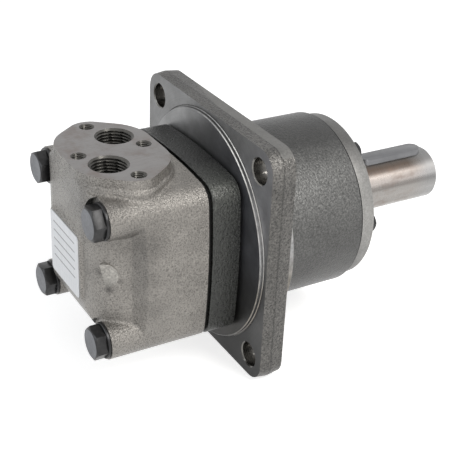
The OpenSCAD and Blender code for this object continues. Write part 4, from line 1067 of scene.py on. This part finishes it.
def build_washers():
    rear, front, r, bore = WASHER_LOW.y, WASHER_HIGH.y, WASHER_R, WASHER_BORE_R
    profile = [(bore, rear), (r - 0.3, rear), (r, rear + 0.3), (r, front - 0.3), (r - 0.3, front),
        (bore, front)]
    rings = join_objects("bolt_washers_round", [turned("washer", profile, 64, at) for at in BOLT_PLACES])
    complete(rings, [OXIDE], "housing", "bolt_washers")


def build_screws():
    """Six cover screws, each head turned its own way."""
    height = SCREW_HIGH.y - COVER_Y
    parts = []
    for k, at in enumerate(SCREW_PLACES):
        parts.append(bolt("screw", at, SCREW_FLATS, COVER_Y, height, SCREW_R, SCREW_LOW.y, 12 + 25 * k))
    heads = join_objects("cover_screws_hex", parts)
    complete(heads, [OXIDE], "housing", "cover_screws", angle=28)


def spline_points():
    """Outline of the splined bore, with straight teeth."""
    teeth = []
    corners = ((-SPLINE_ROOT_TURN, SPLINE_ROOT_R), (-SPLINE_TIP_TURN, SPLINE_TIP_R),
        (SPLINE_TIP_TURN, SPLINE_TIP_R), (SPLINE_ROOT_TURN, SPLINE_ROOT_R))
    for k in range(SPLINE_N):
        for turn, r in corners:
            a = math.radians(360 * k / SPLINE_N + turn)
            teeth.append((r * math.cos(a), r * math.sin(a)))
    return teeth


def key_points(r):
    """Outline of the key or of its seat, round at both ends, r from its middle line."""
    middle = (KEY_HIGH.y + KEY_LOW.y) / 2
    reach = (KEY_HIGH.y - KEY_LOW.y) / 2 - KEY_HALF
    return arc(0, middle + reach, r, 0, 180, 16) + arc(0, middle - reach, r, 180, 360, 16)


def build_shaft():
    """The free end is turned afresh; the splined bore behind it is cut as in the CAD."""
    rear, front = COLLAR_Y
    nut_y, neck_y = NUT_Y
    end, r = SHAFT_Y, SHAFT_R
    profile = [(0, SHAFT_REAR_Y), (JOURNAL_R - 1, SHAFT_REAR_Y), (JOURNAL_R, SHAFT_REAR_Y + 1),
        (JOURNAL_R, rear), (COLLAR_R, rear), (COLLAR_R, front), (JOURNAL_R, front), (JOURNAL_R, nut_y),
        (NUT_R, nut_y), (NUT_R, neck_y), (SEAL_R, neck_y + 0.5), (SEAL_R, LIP_Y), (r, LIP_Y + 1.5),
        (r, end - 1.7), (r - 0.25, end - 1.3), (r - 1.3, end - 0.25), (r - 1.7, end), (0, end)]
    shaft = turned("output_shaft_turned", profile, 160)
    cuts = [prism("spline", spline_points(), *SPLINE_Y)]
    cuts += [rod("entry", *SPLINE_ENTRY), rod("deep", *SPLINE_DEEP)]
    cuts.append(prism("key_seat", key_points(KEY_HALF + FIT), KEY_LOW.z, 30, "z"))
    cuts.append(tap((0, 0), SHAFT_Y - 20, SHAFT_Y + PAST, "y"))
    cuts.append(mouth(TAP_CORE_R, TAP_MAJOR_R + 0.6, SHAFT_Y, 1.2, 48))
    cut_all(shaft, cuts)
    complete(shaft, [SHAFT_STEEL], "shaft", "output_shaft")


def build_key():
    edge = 0.4
    top = KEY_HIGH.z
    sections = []
    for z, inset in ((KEY_LOW.z, 0), (top - edge, 0), (top - edge * 0.3, edge * 0.3), (top, edge)):
        sections.append([(x, y, z) for x, y in key_points(KEY_HALF - inset)])
    key = loft("shaft_key_bar", sections)
    complete(key, [KEY_STEEL], "shaft", "shaft_key")


def build_name_plate():
    edge = 0.15
    half_x = (PLATE_HIGH.x - PLATE_LOW.x) / 2
    half_z = (PLATE_HIGH.z - PLATE_LOW.z) / 2
    middle = (PLATE_HIGH.z + PLATE_LOW.z) / 2
    sections = []
    for y, inset in ((PLATE_HIGH.y, 0), (PLATE_LOW.y + edge, 0), (PLATE_LOW.y, edge)):
        outline = round_rect(half_x - inset, half_z - inset, PLATE_R - inset)
        sections.append([(x, y, z + middle) for x, z in outline])
    plate = loft("name_plate_blank", sections)
    complete(plate, [LABEL], "housing", "name_plate")


def coil(name, centre, r, wire, low, high, turns, axis):
    """A round-wire spring along an axis."""
    steps, ring = int(turns * 24), 8
    sections = []
    for k in range(steps + 1):
        a = 2 * math.pi * turns * k / steps
        t = low + wire + (high - low - 2 * wire) * k / steps
        section = []
        for i in range(ring):
            b = 2 * math.pi * i / ring
            out = r - wire + wire * math.cos(b)
            section.append(place(out * math.cos(a), out * math.sin(a), t + wire * math.sin(b), centre, axis))
        sections.append(section)
    return loft(name, sections)


def build_check_springs():
    """Each spring shortens as its ball lifts."""
    for letter, side in (("a", 1), ("b", -1)):
        low, high = cad_mm("check_spring_" + letter)
        x = side * PORTS[0][0]
        spring = coil("check_spring_coil_" + letter, (x, CHECK_Y), 2.4, 0.3, low.z, high.z, 7, "z")
        complete(spring, [INNER_STEEL], "housing", "check_spring_" + letter)
        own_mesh(spring)


def build_balance_springs():
    low, high = cad_mm("balance_springs")
    parts = []
    for at in ring_places(BALANCE_RING_R, BALANCE_N):
        parts.append(coil("spring", at, 2.6, 0.35, low.y, high.y, 4, "y"))
    springs = join_objects("balance_springs_coil", parts)
    complete(springs, [INNER_STEEL], "housing", "balance_springs")


def build_stage():
    """A plain pale floor under the flange, with the object's shadow."""
    half = 3000.0
    corners = [(x, y, FLOOR_Z) for x, y in ((-half, -half), (half, -half), (half, half), (-half, half))]
    floor = make_object("floor", corners, [(0, 1, 2, 3)])
    s = Shader("floor")
    path = s.tree.nodes.new("ShaderNodeLightPath")
    seen = s.math("MAXIMUM", path.outputs["Is Camera Ray"], path.outputs["Is Glossy Ray"])
    seen = s.math("MAXIMUM", seen, path.outputs["Is Transmission Ray"])
    s.done(Base_Color=(0.80, 0.80, 0.80), Roughness=0.9, Specular_IOR_Level=0.0,
        Emission_Color=(1.0, 1.0, 1.0), Emission_Strength=s.math("MULTIPLY", seen, 0.66))
    floor.data.materials.append(s.material)


def build_world():
    """A white studio to the camera and in reflections, which lights the object with a softer tone."""
    world = bpy.data.worlds.new("studio")
    bpy.context.scene.world = world
    world.use_nodes = True
    tree = world.node_tree
    tree.nodes.clear()
    path = tree.nodes.new("ShaderNodeLightPath")
    seen = path.outputs["Is Camera Ray"]
    for kind in ("Is Glossy Ray", "Is Transmission Ray"):
        larger = tree.nodes.new("ShaderNodeMath")
        larger.operation = "MAXIMUM"
        tree.links.new(seen, larger.inputs[0])
        tree.links.new(path.outputs[kind], larger.inputs[1])
        seen = larger.outputs[0]
    mix = tree.nodes.new("ShaderNodeMixShader")
    tree.links.new(seen, mix.inputs[0])
    for socket, colour, strength in ((1, (0.97, 0.985, 1.0, 1.0), 0.34), (2, (1.0, 1.0, 1.0, 1.0), 1.0)):
        light = tree.nodes.new("ShaderNodeBackground")
        light.inputs["Color"].default_value = colour
        light.inputs["Strength"].default_value = strength
        tree.links.new(light.outputs[0], mix.inputs[socket])
    out = tree.nodes.new("ShaderNodeOutputWorld")
    tree.links.new(mix.outputs[0], out.inputs["Surface"])


def lamp(name, at, size, power, colour):
    """A square area lamp that looks at the motor's middle; places and sizes are in metres."""
    data = bpy.data.lights.new(name, "AREA")
    data.shape = "RECTANGLE"
    data.size = data.size_y = size
    data.energy = power
    data.color = colour
    obj = add_object(name, data)
    obj.location = at
    way = Vector((0, 0.02, 0)) - Vector(at)
    obj.rotation_euler = way.to_track_quat("-Z", "Y").to_euler()


def build_lamps():
    lamp("key", (0.75, 0.35, 0.95), 0.5, 8.5, (1.0, 0.98, 0.95))
    lamp("side", (1.2, -0.35, 0.45), 0.7, 5.0, (1.0, 0.97, 0.93))
    lamp("rear", (-0.3, -1.15, 0.45), 0.8, 4.0, (0.90, 0.95, 1.0))


# The photograph's viewpoint
CAMERA_AT = Vector((466.475, -264.812, 290.132)) * MM
CAMERA_YAW = math.radians(58.983)
CAMERA_PITCH = math.radians(28.595)
CAMERA_ROLL = math.radians(2.650)
FOCAL_PX = 1063.88
IMAGE_PX = 452


def build_camera():
    yaw, pitch, roll = CAMERA_YAW, CAMERA_PITCH, CAMERA_ROLL
    ahead = Vector((-math.sin(yaw) * math.cos(pitch), math.cos(yaw) * math.cos(pitch), -math.sin(pitch)))
    right = Vector((math.cos(yaw), math.sin(yaw), 0))
    up = right.cross(ahead)
    turned_right = right * math.cos(roll) + up * math.sin(roll)
    turned_up = up * math.cos(roll) - right * math.sin(roll)
    axes = Matrix((turned_right, turned_up, -ahead)).transposed().to_4x4()
    data = bpy.data.cameras.new("camera")
    data.sensor_width = 36.0
    data.lens = FOCAL_PX * data.sensor_width / IMAGE_PX
    data.clip_start = 0.01
    obj = add_object("camera", data)
    obj.matrix_world = Matrix.Translation(CAMERA_AT) @ axes
    bpy.context.scene.camera = obj


build_camera()
build_world()
build_lamps()
build_stage()
paint_cad_nodes()
build_valve_housing()
build_ring()
build_front_housing()
build_cover()
build_bolts()
build_washers()
build_screws()
build_shaft()
build_key()
build_name_plate()
build_check_springs()
build_balance_springs()

bpy.context.scene.view_settings.view_transform = "Standard"
